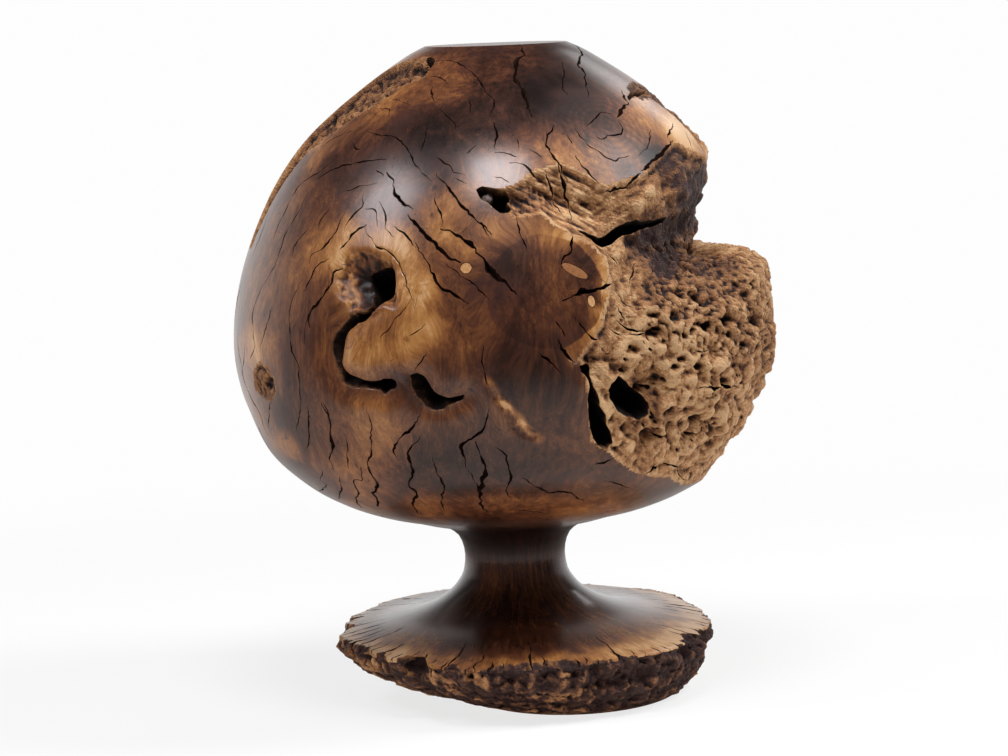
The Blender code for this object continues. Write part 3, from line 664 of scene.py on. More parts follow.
# %% Cracks in the picture
SEEN_CRACKS = [
    (1.5, 387, 172, 393, 182, 395, 193, 402, 202, 413, 210),
    (1.9, 408, 215, 419, 227, 429, 239, 441, 249, 451, 258, 461, 263),
    (1.5, 415, 243, 427, 261, 433, 275, 441, 286, 454, 294, 469, 304),
    (2.3, 441, 228, 459, 236, 475, 249, 486, 264, 494, 275, 506, 285, 517, 294), (1.1, 434, 199, 441, 214, 443, 227),
    (1.2, 436, 174, 449, 189, 464, 207, 479, 222, 491, 236), (0.8, 446, 264, 461, 276, 476, 286, 489, 299),
    (0.8, 366, 224, 368, 234, 377, 246, 392, 254, 402, 269, 407, 286, 415, 304),
    (1.2, 367, 225, 354, 233, 348, 241, 339, 250), (1.4, 347, 261, 335, 271, 330, 286, 320, 301, 310, 313, 310, 328),
    (1.0, 346, 212, 337, 229, 325, 246, 312, 256, 310, 264), (0.9, 387, 159, 369, 161, 349, 164, 335, 169, 317, 179),
    (0.8, 367, 130, 377, 135, 392, 136, 404, 144, 409, 152, 415, 164, 424, 174, 432, 182),
    (1.1, 436, 60, 454, 62, 469, 70, 479, 80, 486, 92, 494, 102, 489, 117),
    (2.2, 518, 45, 524, 55, 516, 62, 515, 77, 524, 92, 528, 107, 531, 117), (0.8, 562, 62, 564, 72, 563, 87, 568, 95),
    (1.3, 571, 41, 581, 52, 578, 65, 583, 70, 586, 85, 588, 97), (0.9, 494, 122, 497, 137, 494, 149),
    (1.5, 553, 125, 548, 137, 546, 147, 556, 159, 566, 174, 578, 189),
    (0.9, 509, 163, 524, 166, 536, 177, 551, 184, 558, 192), (0.8, 516, 214, 521, 234, 527, 253),
    (1.1, 573, 234, 572, 246, 566, 256, 560, 264), (2.2, 562, 301, 578, 294, 593, 290, 608, 284, 620, 281),
    (0.8, 587, 127, 591, 122, 596, 117, 600, 113, 605, 113, 612, 115),
    (1.2, 595, 136, 602, 139, 608, 136, 614, 135, 620, 133, 622, 130, 620, 125, 618, 121),
    (2.2, 621, 90, 624, 98, 628, 103, 624, 106, 620, 112, 618, 118),
    (1.1, 585, 143, 591, 147, 598, 151, 604, 156, 614, 161, 620, 159, 628, 155),
    (2.0, 673, 141, 668, 147, 659, 155, 649, 164, 641, 172),
    (0.8, 330, 280, 326, 291, 317, 304, 309, 315, 306, 324, 304, 345),
    (0.9, 302, 280, 293, 298, 290, 313, 290, 335, 292, 352, 297, 363, 299, 376, 301, 395, 300, 413, 295, 432),
    (0.8, 266, 280, 258, 295, 253, 313, 253, 332, 254, 347, 250, 360), (0.7, 272, 306, 267, 326, 260, 347),
    (0.7, 245, 341, 244, 358, 242, 376), (0.7, 272, 398, 269, 415, 268, 428),
    (1.7, 322, 402, 330, 421, 331, 437, 333, 443, 330, 458, 334, 470), (0.9, 308, 406, 309, 421, 309, 439, 306, 452),
    (0.9, 344, 433, 348, 443, 347, 458, 349, 469),
    (1.3, 367, 409, 371, 424, 371, 439, 372, 454, 369, 463, 372, 474, 378, 485, 374, 493, 378, 502, 383, 517),
    (1.1, 419, 415, 413, 426, 400, 439, 393, 448, 398, 461),
    (1.5, 421, 437, 409, 448, 408, 459, 413, 470, 410, 485, 417, 493, 413, 504, 420, 515),
    (1.1, 432, 457, 437, 472, 443, 485, 442, 500, 444, 511),
    (1.2, 488, 409, 485, 426, 474, 437, 461, 445, 465, 461, 469, 474),
    (1.9, 476, 441, 480, 454, 485, 470, 482, 482, 481, 502, 489, 513), (0.8, 472, 472, 476, 483, 480, 493),
    (1.1, 494, 446, 504, 454, 507, 463, 511, 476, 506, 491, 511, 500), (0.8, 323, 470, 321, 480, 326, 485, 319, 491),
    (0.8, 340, 476, 341, 489, 339, 500), (1.0, 361, 467, 362, 480, 354, 480, 358, 493, 356, 500, 363, 509),
    (0.9, 483, 345, 482, 361, 485, 376, 489, 384), (0.8, 426, 354, 417, 365, 413, 374),
    (1.2, 522, 478, 537, 486, 549, 492, 568, 492, 584, 501), (0.8, 514, 511, 529, 511, 551, 514),
    (0.9, 594, 464, 604, 462, 615, 458), (0.7, 604, 480, 619, 484, 633, 490), (1.0, 537, 351, 547, 360, 562, 375),
    (0.9, 555, 321, 562, 331, 565, 337), (1.5, 559, 339, 562, 349, 570, 358, 578, 364),
    (1.0, 576, 321, 584, 329, 594, 339, 604, 341), (0.7, 337, 158, 318, 173, 299, 186, 287, 208, 278, 226, 272, 247),
    (0.7, 311, 188, 299, 211, 285, 236, 276, 263, 263, 288), (0.8, 329, 208, 323, 217, 318, 226),
    (0.7, 309, 229, 295, 245, 292, 258), (1.0, 329, 258, 317, 267, 311, 279, 304, 292),
    (0.6, 343, 192, 363, 186, 378, 183), (0.7, 376, 171, 380, 173, 384, 177),
    (0.9, 363, 195, 363, 206, 351, 218, 343, 233), (0.6, 365, 209, 376, 211, 377, 227),
    (0.8, 379, 201, 386, 217, 386, 229, 395, 237), (0.6, 456, 178, 461, 181, 468, 184),
    (0.8, 394, 226, 406, 235, 417, 249), (0.7, 308, 404, 309, 411, 310, 419), (0.8, 323, 403, 326, 409, 330, 415),
    (0.9, 406, 306, 397, 318, 392, 324, 380, 338), (0.6, 427, 324, 418, 330, 409, 336),
    (0.7, 352, 143, 357, 149, 363, 148), (0.6, 353, 131, 338, 136, 320, 148), (0.7, 391, 99, 402, 102, 411, 105),
    (0.6, 373, 110, 388, 109, 389, 117), (0.7, 426, 128, 425, 140, 421, 152), (0.7, 432, 86, 432, 94, 434, 102),
    (0.9, 440, 109, 450, 120, 456, 129), (0.7, 430, 76, 440, 78, 448, 84), (0.7, 466, 154, 472, 149, 477, 145),
    (0.7, 437, 158, 448, 165, 454, 172, 466, 176), (0.6, 469, 100, 470, 106, 470, 113),
    (0.7, 494, 153, 504, 152, 517, 157), (0.8, 494, 177, 502, 179, 510, 183), (0.6, 527, 149, 535, 153, 543, 159),
    (0.7, 517, 139, 518, 145, 519, 151), (0.7, 567, 135, 570, 140, 573, 145), (1.0, 575, 156, 587, 171, 598, 184),
    (1.4, 641, 174, 630, 183, 617, 188, 603, 191), (0.6, 650, 129, 648, 145, 638, 157),
    (0.9, 673, 124, 670, 131, 667, 138), (0.6, 685, 131, 689, 140, 692, 148), (0.9, 480, 222, 484, 229, 489, 236),
    (0.7, 575, 129, 581, 137, 587, 143),
]
SKIN_CRACKS = [
    (1.1, 621, 306, 626, 312, 631, 318), (1.0, 613, 327, 623, 334, 633, 334), (1.2, 621, 319, 635, 328, 653, 331),
    (1.6, 706, 394, 717, 392, 733, 391, 749, 390), (1.4, 641, 443, 653, 439, 668, 442, 684, 433),
    (1.3, 643, 475, 655, 472, 678, 470, 684, 484), (1.1, 611, 286, 623, 292, 633, 302, 641, 304),
    (1.3, 573, 217, 574, 200, 566, 180, 556, 162), (1.0, 610, 248, 618, 254, 627, 261),
    (1.4, 652, 254, 646, 270, 638, 284), (1.2, 634, 333, 643, 334, 655, 333),
    (1.3, 698, 446, 706, 443, 718, 441, 724, 436), (1.0, 706, 352, 715, 353, 724, 352),
    (1.0, 545, 170, 553, 184, 560, 200, 566, 214),
]
CRACK_STEP = 1.4


def crack_cutter(name, route, width, depth, seed, lift=0.7):
    """A jagged wedge along a route of points on the surface."""
    path = spaced(smooth_curve(route, 8), CRACK_STEP)
    if len(path) < 4:
        path = spaced(smooth_curve(route, 8), np.linalg.norm(route[-1] - route[0]) / 3.2)
    outward = square_to_outline(path)
    along = np.gradient(path, axis=0)
    along /= np.linalg.norm(along, axis=1)[:, None]
    side = np.cross(along, outward)
    t = np.linspace(0, 1, len(path))
    drift = 0.9 * waves(path, 5.5, shift=seed) + 0.9 * waves(path, 2.1, shift=seed + 3.3)
    taper = np.sin(math.pi * np.clip(t, 0.03, 0.97)) ** 0.55
    swell = np.clip(0.85 + 1.1 * waves(path, 4.2, shift=seed + 7.7), 0.3, 1.6)
    half = 0.5 * width * taper * swell
    path = path + side * (drift * (0.5 + 0.3 * width))[:, None]
    rings = [
        np.array([
            p + n * lift + s * h * 1.15, p + n * lift - s * h * 1.15, p - s * h * 0.3 - n * depth * (0.3 + 0.7 * g)])
        for p, n, s, h, g in zip(path, outward, side, half, taper)
    ]
    return stacked_rings(name, rings, CRACK)


def seen_route(numbers, sink=False):
    """A crack's route, on the polished globe or sunk to its skin."""
    route = seen_points(numbers)
    if sink:
        route -= square_to_outline(route) * skin_depth(route)[0][:, None]
    return route


cracks = [
    crack_cutter(f"cut_crack_{i}", seen_route(route), width, 2.0 + 1.5 * width, 0.37 * i)
    for i, (width, *route) in enumerate(SEEN_CRACKS)
]
cracks += [
    crack_cutter(f"cut_skin_crack_{i}", seen_route(route, sink=True), width, 3.5, 0.53 * i, 2.2)
    for i, (width, *route) in enumerate(SKIN_CRACKS)
]
print(len(cracks), "cracks from the picture")

# %% [markdown]
# The sides and the back have cracks of the same kind. A seeded draw starts them away from the front and lets them
# wander down the globe, each one clear of those before it.

# %% Cracks on the sides and the back
draw = random.Random(11)
CRACKS_APART = 6.0
TRIES = 1200


def hidden_route():
    """A wandering way down the globe, as azimuths and heights."""
    azimuth, height = draw.uniform(62, 286), draw.uniform(112, 286)
    length = draw.uniform(16, 62)
    lean = draw.gauss(0, 0.35)
    route = []
    for step in range(int(length / 6) + 2):
        route.append((azimuth, height))
        radius = float(globe_radius(height))
        azimuth += math.degrees((lean + draw.gauss(0, 0.35)) * 5 / radius)
        height -= 5.2
    return [r for r in route if r[1] > 98]


def hidden_cracks(wanted):
    made, taken = [], np.zeros((0, 3))
    for _ in range(TRIES):
        if len(made) == wanted:
            break
        route = hidden_route()
        if len(route) < 3:
            continue
        line = np.array([on_turning(a, h) for a, h in route])
        crowded = len(taken) and np.linalg.norm(taken[:, None] - line[None], axis=2).min() < CRACKS_APART
        if inside_any(line).max() > -2 or crowded:
            continue
        taken = np.vstack([taken, line])
        width = draw.choice([0.8, 0.8, 1.0, 1.2, 1.6, 2.1])
        made.append(crack_cutter(f"cut_back_{len(made)}", line, width, 2.0 + 1.5 * width, draw.uniform(0, 50)))
    return made


cracks += hidden_cracks(110)
print(len(cracks), "cracks in all")

# %% [markdown]
# ## Seats of the inlays
# The plugs and the little dead knot are solids of the imported model. The plugs' seats are cut a shade larger than
# they are, so each shows the fine dark line round it that a fitted plug has.

# %% Seats
INLAYS = {
    # name: azimuth, height, half length, half width, turn, depth
    "plug_round": (-8.0, 207.7, 2.4, 2.3, 20, 9),
    "plug_oval": (17.4, 191.4, 2.5, 1.5, 96, 9),
    "plug_long": (14.6, 204.6, 6.2, 2.1, -32, 7),
}
SEAT_GAP = 0.25


def seat_cutter(name, azimuth, height, long, wide, turn, depth):
    """An oval prism, a shade larger than its inlay."""
    point = on_turning(azimuth, height)
    outward = square_to_outline(point[None])[0]
    level = np.cross((0, 0, 1), outward)
    level /= np.linalg.norm(level)
    upward = np.cross(outward, level)
    c, s = math.cos(math.radians(turn)), math.sin(math.radians(turn))
    one, two = level * c + upward * s, upward * c - level * s
    a = np.arange(28) * math.tau / 28
    ring = point + np.outer(np.cos(a) * (long + SEAT_GAP), one) + np.outer(np.sin(a) * (wide + SEAT_GAP), two)
    return stacked_rings(name, [ring + outward * 2, ring - outward * (depth + SEAT_GAP)], CRACK)


seats = [seat_cutter(f"cut_{name}", *facts) for name, facts in INLAYS.items()]
print(len(seats), "seats")

# %% Cutting
def carve(piece, name, cutters):
    """Takes the cutters from the piece with one Boolean, and removes them."""
    held = bpy.data.collections.new(name)
    bpy.context.scene.collection.children.link(held)
    for cutter in cutters:
        for old in list(cutter.users_collection):
            old.objects.unlink(cutter)
        held.objects.link(cutter)
    quiet_select(piece)
    cut = piece.modifiers.new(name, "BOOLEAN")
    cut.operation, cut.solver, cut.operand_type = "DIFFERENCE", "MANIFOLD", "COLLECTION"
    cut.collection = held
    bpy.ops.object.modifier_apply(modifier=cut.name)
    for cutter in cutters:
        mesh = cutter.data
        bpy.data.objects.remove(cutter)
        bpy.data.meshes.remove(mesh)
    bpy.data.collections.remove(held)
    print(name, "cut:", len(piece.data.polygons), "faces")


carve(globe, "hollows", hollows)
carve(globe, "cracks", cracks)
carve(globe, "seats", seats)

# %% [markdown]
# ## The foot
# The foot is the lower end of the same piece of wood: the waist, a polished flare, and a rim where the turning ran
# out into the burl's bark. Its blank is turned like the globe's and its bark side is subdivided and roughened.

# %% The foot's blank
RIM_WAVES = [(3.6, 1, 0.0), (3.6, 2, 1.57), (1.3, 5, 2.1), (0.9, 9, 0.3)]
RIM_BITES = [(6, 12, 5), (-32, 7, 6), (148, 9, 6), (-118, 8, 5)]
RIM_TILT = 3.5
STAND_CENTRE, STAND_ACROSS, STAND_DEEP = 25.0, 49.0, 61.0
BARK_SIDE = [(86.5, 24), (83, 16), (79, 8), (74, 0)]
# The flare is stretched to the rim outside this radius and below this height.
FLARE_RADIUS, FLARE_TOP = 40, 46


def rim_reach(azimuth):
    """The radius of the rim, which waves and has bites out of it."""
    a = np.radians(azimuth)
    reach = RIM_RADIUS + sum(size * np.sin(count * a + start) for size, count, start in RIM_WAVES)
    for middle, width, depth in RIM_BITES:
        away = (azimuth - middle + 180) % 360 - 180
        reach = reach - depth * np.exp(-((away / width) ** 2))
    return reach


def stand_reach(azimuth):
    """The radius of the oval patch that the foot stands on, which lies off the axis."""
    a = np.radians(azimuth)
    x, y = np.sin(a) / STAND_ACROSS, -np.cos(a) / STAND_DEEP
    shift = STAND_CENTRE / STAND_ACROSS
    length = x * x + y * y
    return (x * shift + np.sqrt((x * shift) ** 2 + length * (1 - shift * shift))) / length


def broken_rim(azimuth):
    """How far in from the rim the bark has broken away, in millimetres; below 0 where it has not."""
    a = np.radians(azimuth)
    around = np.stack([60 * np.sin(a), 60 * np.cos(a), 0 * a], -1)
    width = 0.4 + 7.0 * waves(around, 8.0, shift=12.0) + 2.5 * waves(around, 2.4)
    return width + 8.0 * np.exp(-(((azimuth - 6) / 10) ** 2)) + 5.0 * np.exp(-(((azimuth - 60) / 6) ** 2))


def tilt(azimuth, share):
    """How much lower the rim lies; it falls towards the front and rises at the back."""
    return RIM_TILT * np.cos(np.radians(azimuth)) * share


def tilt_share(radius):
    return smooth_step((radius - 48) / 32)


def flare_height(radius):
    line = OUTLINE[OUTLINE[:, 1] < FLARE_TOP]
    return np.interp(radius, line[:, 0], line[:, 1])


side_curve = smooth_curve([(RIM_RADIUS, RIM_HEIGHT)] + BARK_SIDE)
foot_rows = np.vstack([
    [(0, OUTLINE[waist_row, 1])], spaced(OUTLINE[waist_row:], 2.6), spaced(side_curve, 2.8)[1:],
    [(60, 0), (40, 0), (0, 0)]])
foot = turned_blank("burl_foot", foot_rows, 216)
middles = face_middles(foot)
subdivide_where(foot, (middles[:, 2] < RIM_HEIGHT + 2.8) & (middles[:, 2] > 0.01), 2)


def shape_foot(points):
    """Moves the blank's points out to the uneven rim and the bark, and tells which of them are bark."""
    azimuth, radius = azimuth_of(points), np.hypot(points[:, 0], points[:, 1])
    out = points[:, :2] / np.maximum(radius, 1e-6)[:, None]
    around = np.column_stack([out * 87, radius * 0])
    wobble = 3.0 * waves(around, 7.0) + 1.4 * waves(around, 2.8) - 0.8
    rim, stand = rim_reach(azimuth) + wobble, stand_reach(azimuth)
    flare = (points[:, 2] >= RIM_HEIGHT - 0.01) & (points[:, 2] < FLARE_TOP - 1) & (radius > FLARE_RADIUS)
    reach = FLARE_RADIUS + (radius - FLARE_RADIUS) * (rim - FLARE_RADIUS) / (RIM_RADIUS - FLARE_RADIUS)
    fall = np.clip((RIM_HEIGHT - points[:, 2]) / RIM_HEIGHT, 0, 1)
    side = (fall > 0.001) & (points[:, 2] > 0.01)
    base = points[:, 2] <= 0.01
    side_radius = stand + (rim - stand) * (1 - fall**2.2)
    base_radius = radius * stand / BARK_SIDE[-1][0]
    new = np.where(flare, reach, np.where(side, side_radius, np.where(base, base_radius, radius)))
    made = points.copy()
    made[:, 2] = np.where(flare, flare_height(reach), points[:, 2])
    made[:, :2] = out * new[:, None]
    made[:, 2] -= tilt(azimuth, np.where(flare, tilt_share(reach), np.where(side, 1 - fall, 0)))
    bark = side & (fall > 0.03)
    width = broken_rim(azimuth)
    broken = np.where(flare, smooth_step((reach - rim + width) / 1.6) * smooth_step(width / 1.5), 0)
    chipped = broken > 0.3
    made[:, 2] -= broken * (1.0 + 1.6 * smooth_step((reach - rim + width) / 6))
    made[chipped, 2] -= 0.7 + 0.9 * waves(made[chipped], 2.6) - 0.6 * domes(made[chipped], 4.2, 3.0)
    p = made[bark]
    bulge = 2.6 * domes(p, 9.0) + 1.3 * domes(p, 4.2, 3.0) + 1.2 * lumps(p, 13.0) - 1.6
    bulge += 0.6 * waves(p, 1.8) - 1.6 * smooth_step((waves(p, 4.0, shift=2.0) - 0.2) / 0.2)
    fade = smooth_step(fall[bark] / 0.12) * smooth_step((p[:, 2] - 0.2) / 3)
    made[bark, :2] += out[bark] * (bulge * fade)[:, None]
    made[bark, 2] += 0.8 * waves(p, 4.0, shift=6.0) * fade
    return made, bark | chipped


points, bark = shape_foot(places(foot))
put_places(foot, points)
give_slots(foot)
mark_skin(foot, bark.astype(float))
print("foot:", len(foot.data.polygons), "faces")

# %% Cracks of the foot
def foot_route(azimuth, start, end, sway):
    """A crack's way out to the rim along the top of the flare."""
    marks = np.linspace(start, end, 4)
    a = np.radians(azimuth + np.array([0, 0.3, -0.4, 0.2]) * sway)
    height = flare_height(marks) - tilt(azimuth, tilt_share(marks))
    return np.stack([marks * np.sin(a), -marks * np.cos(a), height], -1)


def rim_hollow(name, azimuth, height, reach, depth):
    """A lumpy cutter that is driven into the foot's rim."""
    a = math.radians(azimuth)
    out = np.array([math.sin(a), -math.cos(a), 0.4])
    out /= np.linalg.norm(out)
    level = np.array([math.cos(a), math.sin(a), 0.0])
    middle = float(rim_reach(np.array(azimuth))) * np.array([math.sin(a), -math.cos(a), 0]) + (0, 0, height)
    turn = np.arange(18) * math.tau / 18
    rings = []
    for t in np.linspace(-0.96, 0.96, 9):
        round_ = np.outer(np.cos(turn), level) + 0.75 * np.outer(np.sin(turn), np.cross(out, level))
        ring = middle + round_ * reach * math.sqrt(1 - t * t) - out * depth * t
        rings.append(ring + round_ * (1.6 * waves(ring, 3.5))[:, None])
    return stacked_rings(name, rings, SKIN)


# azimuth, height, reach, depth
RIM_HOLLOWS = [(-34, 27, 6.2, 8), (-25, 20, 3.4, 4), (8, 18, 4.6, 5), (14, 11, 3.6, 4), (57, 24, 4.4, 6),
               (36, 9, 3.6, 4), (150, 28, 5, 7), (-140, 27, 5, 6), (-86, 22, 4, 5), (104, 18, 4, 5)]


RIM_CRACKS = 88
rim_cracks = []
for i in range(RIM_CRACKS):
    azimuth = i * 360 / RIM_CRACKS + draw.uniform(-1.6, 1.6)
    end = float(rim_reach(np.array(azimuth))) + 2
    start = end - draw.choice([7, 9, 12, 16, 22, 28])
    width = draw.choice([0.7, 0.9, 1.2, 1.6])
    rim_cracks.append(crack_cutter(
        f"cut_rim_{i}", foot_route(azimuth, start, end, draw.uniform(0.4, 1.8)), width, 3.0, draw.uniform(0, 50), 0.8))
carve(foot, "rim_cracks", rim_cracks)
carve(foot, "rim_hollows", [rim_hollow(f"cut_rim_hollow_{i}", *facts) for i, facts in enumerate(RIM_HOLLOWS)])

# %% [markdown]
# ## Shading normals
# The polish has to look turned, without flats at the long thin triangles beside a crack, so its corners get the
# outline's own normals. The skin and the walls keep the normals of their faces.

# %% Normals
def turned_normals(piece):
    """Gives polished corners the outline's normals; a normal of 0 keeps Blender's own."""
    faces, points = piece.data.polygons, places(piece)
    corner = read(piece.data.loops, "vertex_index", kind=int)
    total = read(faces, "loop_total", kind=int)
    polished = np.repeat(read(faces, "material_index", kind=int), total) == POLISH
    face_normal = np.repeat(read(faces, "normal", 3), total, axis=0)
    dipped = (mouth_dip(points) > 0) | (inside_distance(points, POCKET) > -2) | (inside_distance(points, STRIP) > 0)
    made = np.where((polished & ~dipped[corner])[:, None], square_to_outline(points)[corner], 0.0)
    level = polished & (np.abs(face_normal[:, 2]) > 0.999)
    made[level] = face_normal[level]
    piece.data.shade_smooth()
    piece.data.normals_split_custom_set([tuple(n) for n in made])


turned_normals(globe)
turned_normals(foot)

# %% [markdown]
# ## What the finishes need to know
# Pits are painted darker, as shade, and the tops of warts paler. A few numbers are worked out for each
# point and kept as attributes: how far it lies in a pit, how deep under the polish, and how pale the wood is there.

# %% Attributes
def smoothed(points, one, two, rounds):
    """The points after some rounds of moving halfway to the mean of their neighbours."""
    share = np.bincount(one, minlength=len(points)) + np.bincount(two, minlength=len(points))
    for _ in range(rounds):
        total = np.stack([
            np.bincount(one, points[two, k], len(points)) + np.bincount(two, points[one, k], len(points))
            for k in range(3)], 1)
        points = 0.5 * points + 0.5 * total / np.maximum(share, 1)[:, None]
    return points


def add_attribute(piece, name, values):
    layer = piece.data.attributes.new(name, "FLOAT", "POINT")
    layer.data.foreach_set("value", np.asarray(values, np.float32))


def note_pits(piece):
    """Keeps how far each point lies under the mesh smoothed a little, and under the mesh smoothed a lot."""
    points, normals = places(piece), read(piece.data.vertices, "normal", 3)
    one, two = read(piece.data.edges, "vertices", 2, int).T
    fine = smoothed(points, one, two, 4)
    wide = smoothed(fine, one, two, 40)
    add_attribute(piece, "pit", np.clip(np.einsum("ij,ij->i", fine - points, normals), -2, 2))
    add_attribute(piece, "hollow", np.clip(np.einsum("ij,ij->i", wide - points, normals), -6, 6))


for piece in (globe, foot):
    note_pits(piece)
print("pits noted on", globe.name, "and", foot.name)

# %% [markdown]
# ## Pale and dark wood
# The polish runs from nearly black heart to golden sapwood. Strokes between two places of the picture lighten or
# darken the wood around them, and noise in the finish breaks up their edges.

# %% Strokes of tone
PIXEL = 0.458
# from x, y to x, y in the picture, reach in millimetres, how much lighter (or darker, below 0)
POLISH_STROKES = [
    (350, 240, 392, 243, 8, 0.24), (392, 243, 416, 285, 8, 0.3), (416, 285, 424, 326, 8, 0.16),
    (360, 345, 412, 322, 11, 0.29), (350, 368, 400, 362, 7, 0.2), (428, 336, 474, 330, 9, 0.11),
    (540, 100, 586, 112, 10, -0.28), (440, 215, 478, 236, 9, 0.22), (440, 240, 462, 258, 6, 0.16),
    (470, 250, 500, 262, 6, -0.05), (484, 300, 490, 345, 7, -0.02), (395, 68, 445, 84, 9, 0.22),
    (392, 96, 420, 112, 8, 0.12), (440, 95, 460, 92, 5, 0.02), (388, 100, 318, 152, 6, 0.2),
    (318, 152, 276, 222, 6, 0.14), (350, 165, 420, 140, 10, -0.12), (412, 112, 440, 158, 8, -0.08),
    (400, 374, 412, 402, 5, -0.16), (330, 240, 300, 300, 10, 0.1), (318, 260, 345, 235, 6, 0.14),
    (300, 330, 312, 400, 10, 0.02), (255, 345, 262, 420, 7, 0.26), (270, 260, 262, 340, 9, 0.18),
    (282, 440, 292, 452, 4, 0.4), (345, 430, 352, 500, 13, 0.14), (380, 420, 372, 490, 10, 0.16),
    (400, 440, 440, 425, 9, 0.06), (412, 360, 440, 372, 7, 0.02), (505, 375, 545, 412, 12, -0.12),
    # The dark stroke at x 365, from y 278 to 302, is painted shade at the lip of the left hole.
    (365, 278, 367, 302, 2.2, -0.45), (600, 462, 640, 470, 6, 0.02), (290, 405, 330, 435, 9, -0.12),
    (560, 470, 598, 478, 7, -0.04), (500, 270, 530, 330, 12, -0.02), (480, 345, 540, 385, 13, -0.06),
    (480, 90, 545, 60, 20, -0.14), (560, 80, 600, 60, 12, -0.1), (430, 140, 480, 140, 13, -0.08),
    # The two strokes from x 650 to 696, on the right of the bulge, are partly its tan wood and partly a painted sheen.
    (590, 112, 612, 105, 8, 0.06), (650, 108, 676, 128, 9, 0.36), (676, 128, 696, 150, 6, 0.42),
    (590, 145, 640, 160, 8, 0.12), (560, 150, 600, 178, 6, 0.16), (640, 176, 600, 190, 5, 0.1),
    (652, 156, 658, 158, 3, -0.4), (628, 173, 638, 171, 3, -0.16), (560, 125, 585, 150, 8, 0.02),
    (490, 170, 545, 165, 10, 0.18), (505, 228, 560, 230, 7, 0.24), (552, 240, 590, 236, 4, 0.16),
    # The light stroke along the underside, from x 420 to 610 at y 506 to 508, is a painted reflection of the floor.
    (430, 470, 520, 495, 16, -0.12), (420, 506, 610, 508, 5, 0.2), (545, 410, 585, 440, 9, 0.08),
    (500, 410, 515, 430, 5, 0.15), (536, 330, 556, 345, 6, 0.06), (590, 340, 600, 320, 4, 0.26),
    (460, 200, 476, 190, 5, 0.14), (604, 312, 612, 290, 4, 0.3), (606, 282, 610, 262, 4, 0.34),
    (340, 266, 350, 300, 5, 0.26), (362, 256, 396, 264, 4, -0.06), (488, 384, 508, 404, 1.6, 0.34),
    (508, 404, 520, 424, 1.8, 0.34), (520, 426, 540, 437, 1.8, 0.38),
]
SKIN_STROKES = [
    # The dark strokes under the ridge, between x 640 and 700 and y 214 and 292, are partly the skin's own dark purple
    # and partly painted shade.
    (655, 232, 690, 230, 9, -0.2), (640, 246, 664, 262, 7, -0.16), (662, 268, 656, 292, 5, -0.2),
    (670, 262, 700, 268, 7, -0.18), (674, 168, 698, 182, 7, -0.36), (690, 194, 700, 200, 6, -0.26),
    (700, 262, 752, 262, 8, -0.05), (720, 300, 760, 340, 12, -0.04), (664, 330, 672, 316, 5, -0.15),
    (612, 262, 632, 330, 8, 0.14), (640, 330, 700, 350, 10, 0.1), (640, 360, 740, 380, 12, 0.08),
    (620, 440, 700, 450, 10, 0.1), (598, 375, 612, 410, 3, 0.3), (510, 195, 530, 205, 5, -0.12),
    (530, 170, 590, 205, 9, 0.1), (590, 205, 650, 195, 7, 0.1), (640, 232, 700, 214, 5, -0.2),
    (690, 400, 740, 400, 8, 0.06), (620, 395, 650, 400, 9, -0.07), (256, 378, 268, 390, 5, -0.12),
    (560, 215, 600, 222, 4, 0.12), (745, 262, 765, 300, 5, 0.08), (700, 320, 740, 320, 10, 0.05),
    (620, 360, 700, 380, 14, 0.06), (640, 440, 720, 440, 16, 0.05), (720, 280, 750, 340, 16, -0.05),
    (650, 396, 658, 420, 3.0, -0.14), (640, 425, 655, 427, 2.4, -0.14), (636, 380, 648, 388, 2.4, -0.2),
]


def stroke_tone(points, strokes):
    """The sum of the strokes at each point, each with a soft edge."""
    sway = np.column_stack([waves(points, 16.0), waves(points, 16.0, shift=20.0)])
    here = pixels_of(points) + 8.0 * sway
    tone = np.zeros(len(points))
    for x1, y1, x2, y2, reach, amount in strokes:
        a, b = np.array([x1, y1], float), np.array([x2, y2], float)
        share = np.clip(((here - a) @ (b - a)) / max((b - a) @ (b - a), 1e-9), 0, 1)
        away = np.linalg.norm(here - a - share[:, None] * (b - a), axis=1)
        tone += amount * smooth_step(1.25 - away * PIXEL / (1.6 * reach))
    return tone


def sunk_below(points):
    """How far each point lies under the polished outline."""
    height = np.clip(points[:, 2], OUTLINE[waist_row, 1], HEIGHT)
    radius = np.interp(-height, -OUTLINE[: waist_row + 1, 1], OUTLINE[: waist_row + 1, 0])
    flat = np.clip(radius - np.hypot(points[:, 0], points[:, 1]), 0, 60)
    square = square_to_outline(points)
    return np.minimum(flat * np.hypot(square[:, 0], square[:, 1]), 60)


def neck_shine(height):
    """The stem shines, and turns dull up to its neck, where the picture shows no reflection of the floor."""
    return 1 - 2.0 * smooth_step((height - 60) / 9)


globe_points = places(globe)
seen_x, seen_y = pixels_of(globe_points).T
front_only = smooth_step((20 - globe_points[:, 1]) / 30)
polish_tone = 0.36 + front_only * stroke_tone(globe_points, POLISH_STROKES)
polish_tone += (1 - front_only) * (0.5 * waves(globe_points, 42.0, shift=31.0) + 0.06)
